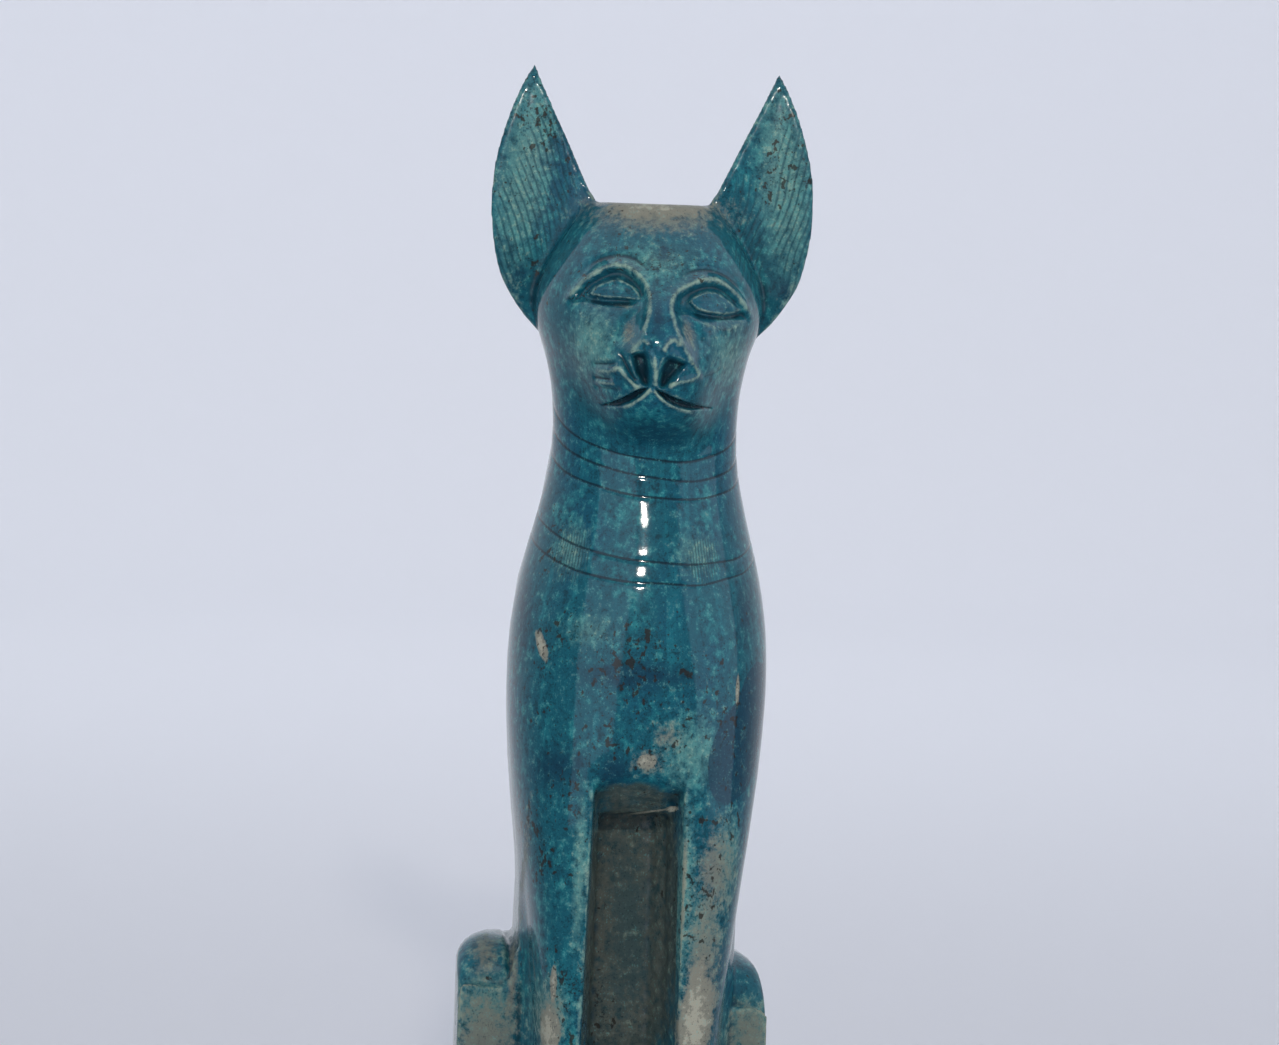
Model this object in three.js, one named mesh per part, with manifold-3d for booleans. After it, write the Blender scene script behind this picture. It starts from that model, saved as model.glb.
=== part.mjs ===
// A seated cat with tall ears, carved with its low base from one block of soft stone and glazed turquoise.
// Millimetres, +Z up. The cat faces -Y, and the origin is the middle of the base's underside.
import * as THREE from "three";
import { mergeVertices } from "three/addons/utils/BufferGeometryUtils.js";
import Module from "manifold-3d";

// Driving dimensions.
const BASE_WIDTH = 74;
const BASE_DEPTH = 106;
const BASE_HEIGHT = 12;
const BASE_CORNER = 7;
const BASE_EASE = 1.2;
const CAT_HEIGHT = 236.6;

// The cat's profiles below are drawn for this height. A cat of another height keeps its proportions.
const DRAWN_HEIGHT = 236.6;
const SUNK = 2;
const HEAD_TURN = THREE.MathUtils.degToRad(4.5);
const CROWN = 210.4;
const GLAZE = { color: 0x1c7f8c, roughness: 0.16, metalness: 0 };

const { clamp, lerp, smoothstep } = THREE.MathUtils;

// A smooth curve through [height, value] stations, read by height.
function profile(stations) {
  return (h) => {
    const last = stations.length - 2;
    let i = 0;
    while (i < last && h > stations[i + 1][0]) i += 1;
    const at = (k) => stations[clamp(k, 0, last + 1)];
    const slope = (k) => (at(k + 1)[1] - at(k - 1)[1]) / (at(k + 1)[0] - at(k - 1)[0]);
    const span = at(i + 1)[0] - at(i)[0];
    const t = clamp((h - at(i)[0]) / span, 0, 1);
    const [rise, ease] = [t * t * (3 - 2 * t), t * (1 - t)];
    const bow = span * ease * ((1 - t) * slope(i) - t * slope(i + 1));
    return lerp(at(i)[1], at(i + 1)[1], rise) + bow;
  };
}

// Body and head, seen from the front: the half width of the flanks, and of the forelegs in front of them.
const flank = profile([
  [-SUNK, 22], [45, 22], [66, 21.9], [75, 22.1], [84, 23], [93, 24.2], [107, 25.5], [118, 25.8],
  [128, 25.2], [138, 23.5], [148, 21], [157, 19], [164, 18.3], [172, 18.6], [180, 20.1], [186, 22],
  [190.5, 22.6], [195, 21.8], [200, 19.6], [205, 16.6], [209, 14],
]);
const forelegs = profile([
  [-SUNK, 19], [30, 18.6], [48, 19], [63, 20.3], [75, 21.6], [84, 22.8], [97, 24.6],
]);
// Seen from the side: chest and legs, back, and the depth at which each section is widest.
const breast = profile([
  [-SUNK, -28.5], [30, -28.5], [60, -29.3], [90, -30.6], [107, -31.4], [118, -31.2], [128, -29.6],
  [138, -26.8], [148, -23.6], [156, -21.2], [163, -20.4], [171, -21.6], [179, -23.2], [187, -24.6],
  [193, -24.8], [199, -22.9], [204, -19.6], [208, -15],
]);
const spine = profile([
  [-SUNK, 40.5], [10, 43], [25, 43.8], [45, 42.4], [60, 39.8], [75, 36.4], [90, 32.8], [105, 28.8],
  [120, 24.8], [135, 20.4], [147, 17], [158, 15], [168, 14.6], [178, 15.4], [188, 16], [196, 14.8],
  [203, 11.4], [208, 7.5],
]);
const widest = profile([[-SUNK, 5], [60, 5], [90, -1], [118, -4], [160, -3], [CROWN, -3]]);
// How square each section is: 2 is an ellipse, and more is a rounded block.
const squareFront = profile([[-SUNK, 4.6], [60, 4.4], [86, 3.4], [100, 2.7], [118, 2.35], [150, 2.1], [CROWN, 2.5]]);
const squareBack = profile([[-SUNK, 2.6], [60, 2.4], [118, 2.2], [CROWN, 2.4]]);
const LEG_STEP = [-14, -5];

// The face: how far the middle line of brow, nose, lips and chin stands out, and how wide that ridge is.
const FACE_MIDDLE = 0.8;
const muzzle = profile([
  [164.5, 0], [166, 2.4], [167.6, 7.4], [169.5, 10.4], [172, 11.6], [176, 12.4], [180, 12], [183, 9.8],
  [187, 6.8], [191, 4.3], [195, 2.2], [199, 0.9], [203, 0],
]);
const muzzleHalf = profile([
  [164.5, 8], [168, 9], [172, 10.8], [176, 12.6], [180, 14.4], [185, 16.4], [190, 17.4], [200, 18],
]);
const bridge = profile([[177, 0], [181, 1.4], [184, 3], [187, 3.4], [191, 3], [195, 1.6], [199, 0.4], [201, 0]]);
const bridgeHalf = profile([[177, 4.6], [182, 4.8], [186, 3.8], [190, 2.8], [194, 2.6], [201, 3.4]]);
const EYES = [
  { x: -8.6, h: 193.8, half: 5.2, up: 2.4 },
  { x: 10.8, h: 192.2, half: 5.2, up: 2.4 },
];
const EYE_HOLLOW = 2.4;
const EYE_SWELL = 1.5;
const BROW_RIDGE = 1;
const NOSTRILS = [
  { x: -3.1, h: 179.2, half: 2.2, tall: 3 },
  { x: 4, h: 179.2, half: 2.5, tall: 3 },
];
const NOSTRIL_DEPTH = 2.4;
const MOUTH = { half: 9.6, h: 175, drop: 3.8, thick: 0.9, depth: 1.6 };

// Five rings cut round the neck and chest. Their planes rise towards the back and the cat's right.
const RINGS = [160.6, 157.4, 153.9, 141.4, 137.5];
const RING_DEPTH = 0.45;
const RING_HALF = 0.55;
const RING_RISE = 0.26;
const RING_LEAN = -0.09;

// The ears: outer edge, inner edge, thickness and lean, all by height.
const EAR_FOOT = 184.5;
const earOuter = profile([
  [EAR_FOOT, 21.8], [187.5, 24.5], [191, 27], [195, 29.2], [199, 30.4], [205, 31.4], [211, 31.6],
  [217, 31.2], [223, 29.9], [229, 28], [233, 26.3], [235.6, 24.9], [DRAWN_HEIGHT, 24.1],
]);
const earInner = profile([
  [EAR_FOOT, 15], [200, 11], [210, 11], [213, 12.8], [222, 17.1], [230, 21], [235.6, 23.6], [DRAWN_HEIGHT, 23.9],
]);
const earThick = profile([[EAR_FOOT, 4], [195, 6], [210, 5], [225, 3.4], [DRAWN_HEIGHT, 1.2]]);
const earLean = profile([[EAR_FOOT, -1], [205, -2.5], [DRAWN_HEIGHT, -1]]);
const EAR_CURL = 3;

// The haunches: the outer side, and the front block whose top ledge stops short of the rounded thigh.
const THIGHS = [
  { side: -1, outer: 33, top: 62, round: [6.5, 6] },
  { side: 1, outer: 28.8, top: 59.8, round: [9.5, 11] },
];
const HAUNCH = { inner: 15, front: -8, crest: 6, back: 41, lip: 1.6, ledgeBelowTop: 9.1 };

// The hollow between the forelegs: [depth, half width at the top, half width below, top, bottom].
const HOLLOW_X = -1.2;
const HOLLOW = [
  [-44, 14.2, 10.2, 105.5, 4],
  [-31, 10.3, 8, 97.4, 7],
  [-21, 7.3, 6.2, 91.6, 8.6],
  [-14, 5.8, 5.2, 90.6, 9.6],
];

const FOREPAW = { x: 10.4, y: -33.5, half: [8.7, 12.5, 9.6] };
const HINDPAW = { x: 24.4, y: -18, half: [5.7, 21, 8] };
const TAIL_RADIUS = 3.6;
const TAIL_RISE = 2.6;
const TAIL_ROUTE = [[-6, 38], [6, 43.5], [22, 40.5], [31, 29], [33.2, 12], [33.2, -8], [31.8, -26], [28.4, -39]];

// The net of the body: columns round it, closer together in front, and rows as [from, to, count].
const BODY_COLUMNS = 52;
const FRONT_CROWDING = 0.55;
const BODY_ROWS = [
  [-SUNK, 60, 5], [70, 100, 4], [107, 129, 4], [164.5, 167.5, 3], [169, 196.5, 20], [199, 208, 4],
];

const wasm = await Module();
wasm.setup();

// A closed skin over equal rings of points, with a fan over each end.
function skin(rings) {
  const n = rings[0].length;
  const points = rings.flat();
  const middle = (ring) => ring.reduce((sum, p) => sum.add(p), new THREE.Vector3()).divideScalar(n);
  const faces = [];
  for (let i = 0; i + 1 < rings.length; i += 1) {
    for (let j = 0; j < n; j += 1) {
      const [a, b] = [i * n + j, i * n + ((j + 1) % n)];
      faces.push(a, b, b + n, a, b + n, a + n);
    }
  }
  const [first, last] = [points.length, points.length + 1];
  points.push(middle(rings[0]), middle(rings.at(-1)));
  const top = (rings.length - 1) * n;
  for (let j = 0; j < n; j += 1) {
    const k = (j + 1) % n;
    faces.push(first, k, j, last, top + j, top + k);
  }
  return new THREE.BufferGeometry().setFromPoints(points).setIndex(faces);
}

// A geometry as a solid to join and cut, turned right side out.
function solid(geometry) {
  geometry.deleteAttribute("normal");
  geometry.deleteAttribute("uv");
  const merged = mergeVertices(geometry, 1e-4);
  const made = (order) =>
    new wasm.Manifold(
      new wasm.Mesh({
        numProp: 3,
        vertProperties: merged.attributes.position.array,
        triVerts: new Uint32Array(order),
      }),
    );
  const order = Array.from(merged.index.array);
  const first = made(order);
  return first.volume() > 0 ? first : made(order.reverse());
}

// A bump that is 1 in the middle and 0 past its edge.
const mound = (distance) => Math.exp(-(distance ** 2));

// How far the carving of the face stands out of the plain head, at x from the middle of the head.
function faceRelief(across, h) {
  const x = across - FACE_MIDDLE;
  let out = muzzle(h) * Math.exp(-((x / muzzleHalf(h)) ** 4));
  out += bridge(h) * Math.exp(-((x / bridgeHalf(h)) ** 4));
  for (const eye of EYES) {
    const [u, v] = [(across - eye.x) / eye.half, (h - eye.h) / eye.up];
    const brow = v - 1.85 + 0.95 * u * u;
    const within = Math.exp(-((u / 1.5) ** 4));
    out -= EYE_HOLLOW * within * mound((v + 0.3) / 1.8);
    out += EYE_SWELL * mound(Math.hypot(u, v) / 0.9);
    out += BROW_RIDGE * within * (mound(brow / 0.42) - 0.5 * mound((brow - 0.8) / 0.36));
  }
  for (const nostril of NOSTRILS) {
    const [u, v] = [(across - nostril.x) / nostril.half, (h - nostril.h) / nostril.tall];
    out -= NOSTRIL_DEPTH * mound(Math.hypot(u, v));
  }
  const along = Math.min(Math.abs(x) / MOUTH.half, 1.6);
  const lips = MOUTH.h - MOUTH.drop * Math.sin((Math.min(along, 1) * Math.PI) / 2);
  return out - MOUTH.depth * mound((h - lips) / MOUTH.thick) * smoothstep(1.25 - along, 0, 0.4);
}

// The plain section of body or head at a height and an angle round it, with no face.
function bodyPoint(h, angle) {
  const [c, s] = [Math.cos(angle), Math.sin(angle)];
  const square = s < 0 ? squareFront(h) : squareBack(h);
  const bent = (v) => Math.sign(v) * Math.abs(v) ** (2 / square);
  const y = widest(h) + bent(s) * (s < 0 ? widest(h) - breast(h) : spine(h) - widest(h));
  const legs = h < 97 ? Math.min(forelegs(h), flank(h)) : flank(h);
  return { x: bent(c) * lerp(legs, flank(h), smoothstep(y, ...LEG_STEP)), y };
}

// One row of the body, tilted where the rings of the neck tilt it, and pressed in by the depth of a groove.
function bodyRow(row, pressed = 0, shrink = 1) {
  const tilt = smoothstep(row, 122, 136) * (1 - smoothstep(row, 161, 184));
  const turn = HEAD_TURN * smoothstep(row, 160, 182);
  const points = [];
  for (let j = 0; j < BODY_COLUMNS; j += 1) {
    const share = (2 * Math.PI * j) / BODY_COLUMNS;
    const angle = share - FRONT_CROWDING * Math.sin(share) - Math.PI / 2;
    let h = row;
    let p = bodyPoint(h, angle);
    for (let i = 0; i < 4; i += 1) {
      h = row + tilt * (RING_RISE * (p.y - breast(row)) + RING_LEAN * p.x);
      p = bodyPoint(h, angle);
    }
    const front = smoothstep(-Math.sin(angle), 0.1, 0.55);
    const y = p.y - (h > 160 ? front * faceRelief(p.x, h) : 0);
    const inward = 1 - pressed / Math.hypot(p.x, y - widest(h));
    const point = new THREE.Vector3(p.x * inward * shrink, lerp(widest(h), y, inward * shrink), h);
    points.push(point.applyAxisAngle(new THREE.Vector3(0, 0, 1), -turn));
  }
  return points;
}

function body() {
  const plain = BODY_ROWS.flatMap(([from, to, count]) =>
    Array.from({ length: count }, (_, i) => [lerp(from, to, i / (count - 1)), 0]),
  );
  const grooves = RINGS.flatMap((h) => [[h - RING_HALF, 0], [h, RING_DEPTH], [h + RING_HALF, 0]]);
  const rows = [...plain, ...grooves, [147.7, 0]].sort((a, b) => a[0] - b[0]);
  const rings = rows.map(([h, pressed]) => bodyRow(h, pressed));
  const edge = rings.at(-1);
  const centre = new THREE.Vector3(0, -3, CROWN);
  for (const [inset, lift] of [[0.06, 0.55], [0.2, 0.9], [0.55, 1]]) {
    rings.push(edge.map((p) => new THREE.Vector3(
      lerp(p.x, centre.x, inset), lerp(p.y, centre.y, inset), lerp(p.z, centre.z, lift),
    )));
  }
  return solid(skin(rings));
}

// An ear: a leaf that is dished in front, with its edges curled forward.
function ear(side) {
  const rings = [];
  for (let i = 0; i <= 16; i += 1) {
    const h = lerp(EAR_FOOT, DRAWN_HEIGHT, 1 - (1 - i / 16) ** 1.25);
    const half = Math.max((earOuter(h) - earInner(h)) / 2, 0.3);
    const ring = [];
    for (let j = 0; j < 16; j += 1) {
      const angle = (2 * Math.PI * j) / 16;
      const across = Math.sign(Math.cos(angle)) * Math.abs(Math.cos(angle)) ** 0.8;
      const through = Math.sign(Math.sin(angle)) * Math.abs(Math.sin(angle)) ** 0.8;
      const y = earLean(h) + (through * earThick(h)) / 2 - EAR_CURL * (half / 9) * across ** 2;
      const x = side * (earInner(h) + half + across * half);
      ring.push(new THREE.Vector3(x, y, h).applyAxisAngle(new THREE.Vector3(0, 0, 1), -HEAD_TURN));
    }
    rings.push(ring);
  }
  return solid(skin(rings));
}

// A haunch, built from slices from front to back: a block up to the ledge, then the rounded thigh behind it.
function haunch({ side, outer, top, round }) {
  const { inner, front, crest, back, lip, ledgeBelowTop } = HAUNCH;
  const ledge = top - ledgeBelowTop;
  const height = (y) => {
    if (y < crest) {
      const t = (crest - y) / (crest - front - lip);
      return lerp(ledge, top, Math.sqrt(Math.max(1 - t * t, 0)));
    }
    return top * (1 - ((y - crest) / (back - crest)) ** 2.4) ** (1 / 2.1);
  };
  const slice = (y, high, width, waist = 0) => {
    const rx = Math.min(lerp(round[0], 16, waist), width - inner - 1);
    const rz = Math.min(lerp(round[1], 42, waist), high * 0.7);
    const ring = [[inner, -SUNK], [width, -SUNK], [width, (high - rz) / 2], [width, high - rz]];
    for (let k = 1; k <= 4; k += 1) {
      const a = (k * Math.PI) / 8;
      ring.push([width - rx + rx * Math.cos(a) ** 0.9, high - rz + rz * Math.sin(a) ** 0.9]);
    }
    ring.push([inner, high]);
    return ring.map(([x, h]) => new THREE.Vector3(side * x, y, h));
  };
  const step = front + lip;
  const rings = [slice(front, ledge - 0.9, outer - 1.4), slice(front + 0.8, ledge, outer - 0.3), slice(step, ledge, outer)];
  for (let i = 1; i <= 14; i += 1) {
    const y = lerp(step, back, (i / 14) ** 1.3);
    const waist = smoothstep(y, crest - 4, back + 4);
    rings.push(slice(y, Math.max(height(y), 3), outer - (outer - 22.5) * waist ** 1.6, waist));
  }
  return solid(skin(rings));
}

// The hollow between the forelegs, splayed and closed behind.
function hollow() {
  const rings = HOLLOW.map(([y, high, low, top, bottom]) => [
    [-low, bottom], [low, bottom], [high, top], [-high, top],
  ].map(([x, h]) => new THREE.Vector3(HOLLOW_X + x, y, h)));
  return solid(skin(rings));
}

// A paw: a ball drawn out to a rounded block, cut off by the base.
function paw(side, { x, y, half }) {
  const ball = new THREE.SphereGeometry(1, 14, 8).rotateX(Math.PI / 2);
  const at = ball.attributes.position;
  const squared = (v) => Math.sign(v) * Math.abs(v) ** 0.8;
  for (let i = 0; i < at.count; i += 1) {
    at.setXYZ(i, squared(at.getX(i)) * half[0], squared(at.getY(i)) * half[1], at.getZ(i) * half[2]);
  }
  return solid(ball.translate(side * x, y, 0));
}

function tail() {
  const route = new THREE.CatmullRomCurve3(TAIL_ROUTE.map(([x, y]) => new THREE.Vector3(x, y, TAIL_RISE)));
  const section = new THREE.Shape().absarc(0, 0, TAIL_RADIUS, 0, 2 * Math.PI);
  const tube = new THREE.ExtrudeGeometry(section, {
    steps: 26,
    curveSegments: 5,
    bevelEnabled: false,
    extrudePath: route,
  });
  const [tipX, tipY] = TAIL_ROUTE.at(-1);
  const tip = new THREE.SphereGeometry(TAIL_RADIUS, 10, 8).translate(tipX, tipY, TAIL_RISE);
  return solid(tube).add(solid(tip));
}

// The base: a low block with rounded upright edges.
function base() {
  const [w, d, r] = [BASE_WIDTH / 2 - BASE_EASE, BASE_DEPTH / 2 - BASE_EASE, BASE_CORNER];
  const outline = new THREE.Shape();
  outline.absarc(w - r, d - r, r, 0, Math.PI / 2);
  outline.absarc(r - w, d - r, r, Math.PI / 2, Math.PI);
  outline.absarc(r - w, r - d, r, Math.PI, Math.PI * 1.5);
  outline.absarc(w - r, r - d, r, Math.PI * 1.5, Math.PI * 2);
  const block = new THREE.ExtrudeGeometry(outline, {
    depth: BASE_HEIGHT - 2 * BASE_EASE,
    bevelThickness: BASE_EASE,
    bevelSize: BASE_EASE,
    bevelSegments: 1,
    curveSegments: 5,
  });
  return solid(block.translate(0, 0, BASE_EASE));
}

function statuette() {
  const sides = [-1, 1];
  const grown = CAT_HEIGHT / DRAWN_HEIGHT;
  const cat = [
    ...sides.map(ear),
    ...THIGHS.map(haunch),
    ...sides.map((side) => paw(side, HINDPAW)),
    tail(),
  ].reduce((whole, piece) => whole.add(piece), body());
  const legs = sides.map((side) => paw(side, FOREPAW)).reduce((whole, piece) => whole.add(piece), cat.subtract(hollow()));
  const placed = legs.scale([grown, grown, grown]).translate([0, 0, BASE_HEIGHT]);
  const floor = solid(new THREE.BoxGeometry(500, 500, 500).translate(0, 0, -250 + BASE_HEIGHT / 2));
  return placed.subtract(floor).add(base());
}

// A manifold solid back as a three.js geometry.
function drawn(shape) {
  const { vertProperties, triVerts } = shape.getMesh();
  const geometry = new THREE.BufferGeometry();
  geometry.setAttribute("position", new THREE.BufferAttribute(vertProperties, 3));
  geometry.setIndex(new THREE.BufferAttribute(triVerts, 1));
  geometry.computeVertexNormals();
  return geometry;
}

const cat = new THREE.Mesh(drawn(statuette()), new THREE.MeshStandardMaterial(GLAZE));
cat.name = "seated_cat";
const group = new THREE.Group();
group.add(cat);

export default group;
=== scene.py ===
"""A seated cat carved with its low base from one block of soft stone, and glazed turquoise.

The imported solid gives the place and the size. One carved piece stands for it here, built from the
same profiles at a finer grain: lofted forms are joined, the hollow between the forelegs is cut, the
whole is fused, and then the brows, eyes, nose, lips and neck rings are cut in. The hair strokes lie
in the glaze. Lengths are in millimetres until they are written to a mesh, which is in metres. The
cat faces -Y.
"""

from __future__ import annotations

import logging
import math
from dataclasses import dataclass, field
from enum import Enum
from typing import Callable, Sequence

import bpy
import numpy as np
from mathutils import Matrix, Vector

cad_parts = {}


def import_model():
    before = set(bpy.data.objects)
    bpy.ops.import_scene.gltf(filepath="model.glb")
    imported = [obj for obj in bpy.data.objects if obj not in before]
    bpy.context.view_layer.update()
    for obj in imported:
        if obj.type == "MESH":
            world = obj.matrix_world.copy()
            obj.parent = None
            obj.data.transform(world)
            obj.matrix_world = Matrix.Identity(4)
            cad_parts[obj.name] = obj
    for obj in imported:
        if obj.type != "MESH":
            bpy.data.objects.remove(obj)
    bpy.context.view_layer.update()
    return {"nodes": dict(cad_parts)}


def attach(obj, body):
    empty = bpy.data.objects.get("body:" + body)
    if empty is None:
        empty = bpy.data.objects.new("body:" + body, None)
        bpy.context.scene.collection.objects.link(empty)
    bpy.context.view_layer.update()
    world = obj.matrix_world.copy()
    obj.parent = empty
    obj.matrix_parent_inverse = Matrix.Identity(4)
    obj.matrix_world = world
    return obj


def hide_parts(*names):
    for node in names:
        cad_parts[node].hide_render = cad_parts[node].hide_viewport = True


LOG = logging.getLogger("seated_cat")
MM = 0.001
NODE = "seated_cat"

Points = np.ndarray
Line = tuple[tuple[float, float], ...]
Place = Callable[[np.ndarray, np.ndarray], Points]


# Numbers


def smooth(value: np.ndarray, low: float, high: float) -> np.ndarray:
    """Eases from 0 at low to 1 at high.

    Args:
        value: what is measured.
        low: where the ease starts.
        high: where it ends.

    Returns:
        A share from 0 to 1 for each value.
    """
    share = np.clip((np.asarray(value, float) - low) / (high - low), 0.0, 1.0)
    return share * share * (3.0 - 2.0 * share)


def mound(distance: np.ndarray) -> np.ndarray:
    """Gives a soft bump that is 1 at a distance of 0."""
    return np.exp(-(distance**2))


def mix(low: np.ndarray, high: np.ndarray, share: np.ndarray) -> np.ndarray:
    """Blends from low to high by a share."""
    return low + (high - low) * share


def power(base: np.ndarray, exponent: float) -> np.ndarray:
    """Raises the size of a number to a power and keeps its sign."""
    return np.sign(base) * np.abs(base) ** exponent


def ripple(points: Points, pitch: float, seed: int) -> np.ndarray:
    """Gives an even, repeatable unevenness, as a hand-held scraper leaves.

    Args:
        points: places in millimetres.
        pitch: the usual length of one swell.
        seed: which pattern.

    Returns:
        A value of about -1 to 1 for each point.
    """
    rng = np.random.default_rng(seed)
    total = np.zeros(len(points))
    waves = 7
    for _ in range(waves):
        way = rng.normal(size=3)
        way *= 2.0 * math.pi / (pitch * rng.uniform(0.7, 1.6) * np.linalg.norm(way))
        total += np.sin(points @ way + rng.uniform(0.0, 2.0 * math.pi))
    return total / math.sqrt(waves)


def turned(points: Points, turn: np.ndarray | float) -> Points:
    """Turns places about the upright line through the middle of the base.

    Args:
        points: places in millimetres.
        turn: how far, in radians, towards -X for a place in front.

    Returns:
        The turned places.
    """
    x, y, h = points.T
    c, s = np.cos(turn), np.sin(turn)
    return np.stack([x * c + y * s, y * c - x * s, h], axis=1)


@dataclass(frozen=True)
class Swell:
    """One unevenness: how far it goes, its usual length, and which pattern it follows."""

    size: float
    pitch: float
    seed: int

    def at(self, points: Points) -> np.ndarray:
        """Reads it at each point."""
        return self.size * ripple(points, self.pitch, self.seed)


@dataclass(frozen=True)
class Profile:
    """A smooth curve through (height, value) stations."""

    stations: tuple[tuple[float, float], ...]

    def at(self, height: np.ndarray) -> np.ndarray:
        """Reads the curve.

        Args:
            height: heights in millimetres.

        Returns:
            The value at each height, level past either end.
        """
        heights, values = np.array(self.stations, float).T
        low = np.maximum(np.arange(len(heights)) - 1, 0)
        high = np.minimum(np.arange(len(heights)) + 1, len(heights) - 1)
        slopes = (values[high] - values[low]) / (heights[high] - heights[low])
        height = np.asarray(height, float)
        i = np.clip(np.searchsorted(heights, height) - 1, 0, len(heights) - 2)
        span = heights[i + 1] - heights[i]
        share = np.clip((height - heights[i]) / span, 0.0, 1.0)
        ease = share * (1.0 - share)
        bow = span * ease * ((1.0 - share) * slopes[i] - share * slopes[i + 1])
        return mix(values[i], values[i + 1], share * share * (3.0 - 2.0 * share)) + bow


def to_path(
    x: np.ndarray, h: np.ndarray, path: Sequence[tuple[float, float]]
) -> tuple[np.ndarray, np.ndarray]:
    """Measures to a drawn line.

    Args:
        x: places across.
        h: heights.
        path: the line's corners.

    Returns:
        The distance to the line, and how far along it the nearest place is, from 0 to 1.
    """
    corners = np.array(path, float)
    lengths = np.linalg.norm(np.diff(corners, axis=0), axis=1)
    best = np.full(np.shape(x), np.inf)
    along = np.zeros(np.shape(x))
    done = 0.0
    for (ax, ah), (bx, bh), length in zip(corners[:-1], corners[1:], lengths):
        share = ((x - ax) * (bx - ax) + (h - ah) * (bh - ah)) / length**2
        share = np.clip(share, 0.0, 1.0)
        away = np.hypot(x - mix(ax, bx, share), h - mix(ah, bh, share))
        nearer = away < best
        best = np.where(nearer, away, best)
        along = np.where(nearer, done + share * length, along)
        done += length
    return best, along / done


def curve(corners: Sequence[tuple[float, float]], steps: int = 5) -> list[tuple[float, float]]:
    """Rounds a drawn line by passing a smooth curve through its corners.

    Args:
        corners: the places that the line goes through.
        steps: how many short pieces lie between two corners.

    Returns:
        The corners of the finer line.
    """
    knots = [Vector((*c, 0.0)) for c in corners]
    knots = [knots[0] * 2 - knots[1], *knots, knots[-1] * 2 - knots[-2]]
    line = []
    for a, b, c, d in zip(knots, knots[1:], knots[2:], knots[3:]):
        for k in range(steps):
            t = k / steps
            at = 2 * b + (c - a) * t + (2 * a - 5 * b + 4 * c - d) * t**2
            at = 0.5 * (at + (3 * b - a - 3 * c + d) * t**3)
            line.append((at.x, at.y))
    line.append(tuple(corners[-1]))
    return line


# Meshes


def read_points(piece: bpy.types.Object) -> Points:
    """Reads a mesh's points in millimetres."""
    flat = np.empty(len(piece.data.vertices) * 3, np.float32)
    piece.data.vertices.foreach_get("co", flat)
    return flat.reshape(-1, 3).astype(float) / MM


def read_normals(piece: bpy.types.Object) -> Points:
    """Reads the direction that the surface faces at each point."""
    flat = np.empty(len(piece.data.vertices) * 3, np.float32)
    piece.data.vertex_normals.foreach_get("vector", flat)
    return flat.reshape(-1, 3).astype(float)


def write_points(piece: bpy.types.Object, points: Points) -> None:
    """Moves a mesh's points to places in millimetres.

    Args:
        piece: the object whose mesh changes.
        points: one place for each point.
    """
    piece.data.vertices.foreach_set("co", (points * MM).astype(np.float32).ravel())
    piece.data.update()


def select_only(piece: bpy.types.Object) -> None:
    """Deselects everything, then selects one object and makes it active."""
    bpy.ops.object.select_all(action="DESELECT")
    piece.select_set(True)
    bpy.context.view_layer.objects.active = piece


def loft(name: str, around: int, along: int, place: Place) -> bpy.types.Object:
    """Adds a ball and shapes it, point by point, into a long form that is closed at both ends.

    Args:
        name: the piece's name.
        around: how many columns go round it.
        along: how many rows go from end to end.
        place: gives a point in millimetres from a share along and an angle round.

    Returns:
        The shaped object.
    """
    bpy.ops.object.select_all(action="DESELECT")
    bpy.ops.mesh.primitive_uv_sphere_add(segments=around, ring_count=along, radius=1.0)
    piece = bpy.context.object
    piece.name = piece.data.name = name
    ball = read_points(piece) * MM
    share = 1.0 - np.arccos(np.clip(ball[:, 2], -1.0, 1.0)) / math.pi
    write_points(piece, place(share, np.arctan2(ball[:, 1], ball[:, 0])))
    bpy.ops.object.mode_set(mode="EDIT")
    bpy.ops.mesh.select_all(action="SELECT")
    bpy.ops.mesh.normals_make_consistent(inside=False)
    bpy.ops.object.mode_set(mode="OBJECT")
    return piece


def apply_modifier(piece: bpy.types.Object, kind: str, **settings: object) -> None:
    """Adds a modifier with its settings, and applies it.

    Args:
        piece: the object that it changes.
        kind: the modifier's type.
        **settings: its settings by name.
    """
    select_only(piece)
    bpy.ops.object.modifier_add(type=kind)
    modifier = piece.modifiers[-1]
    for key, value in settings.items():
        setattr(modifier, key, value)
    bpy.ops.object.modifier_apply(modifier=modifier.name)


def refine(piece: bpy.types.Object, where: np.ndarray) -> None:
    """Halves the faces whose corners are all marked.

    Args:
        piece: the object whose mesh gets finer.
        where: True for each point inside the finer region.
    """
    select_only(piece)
    bpy.ops.object.mode_set(mode="EDIT")
    bpy.ops.mesh.select_mode(type="VERT")
    bpy.ops.mesh.select_all(action="DESELECT")
    bpy.ops.object.mode_set(mode="OBJECT")
    piece.data.vertices.foreach_set("select", where)
    bpy.ops.object.mode_set(mode="EDIT")
    bpy.ops.mesh.select_mode(type="FACE")
    bpy.ops.mesh.subdivide(number_cuts=1)
    bpy.ops.object.mode_set(mode="OBJECT")


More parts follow.
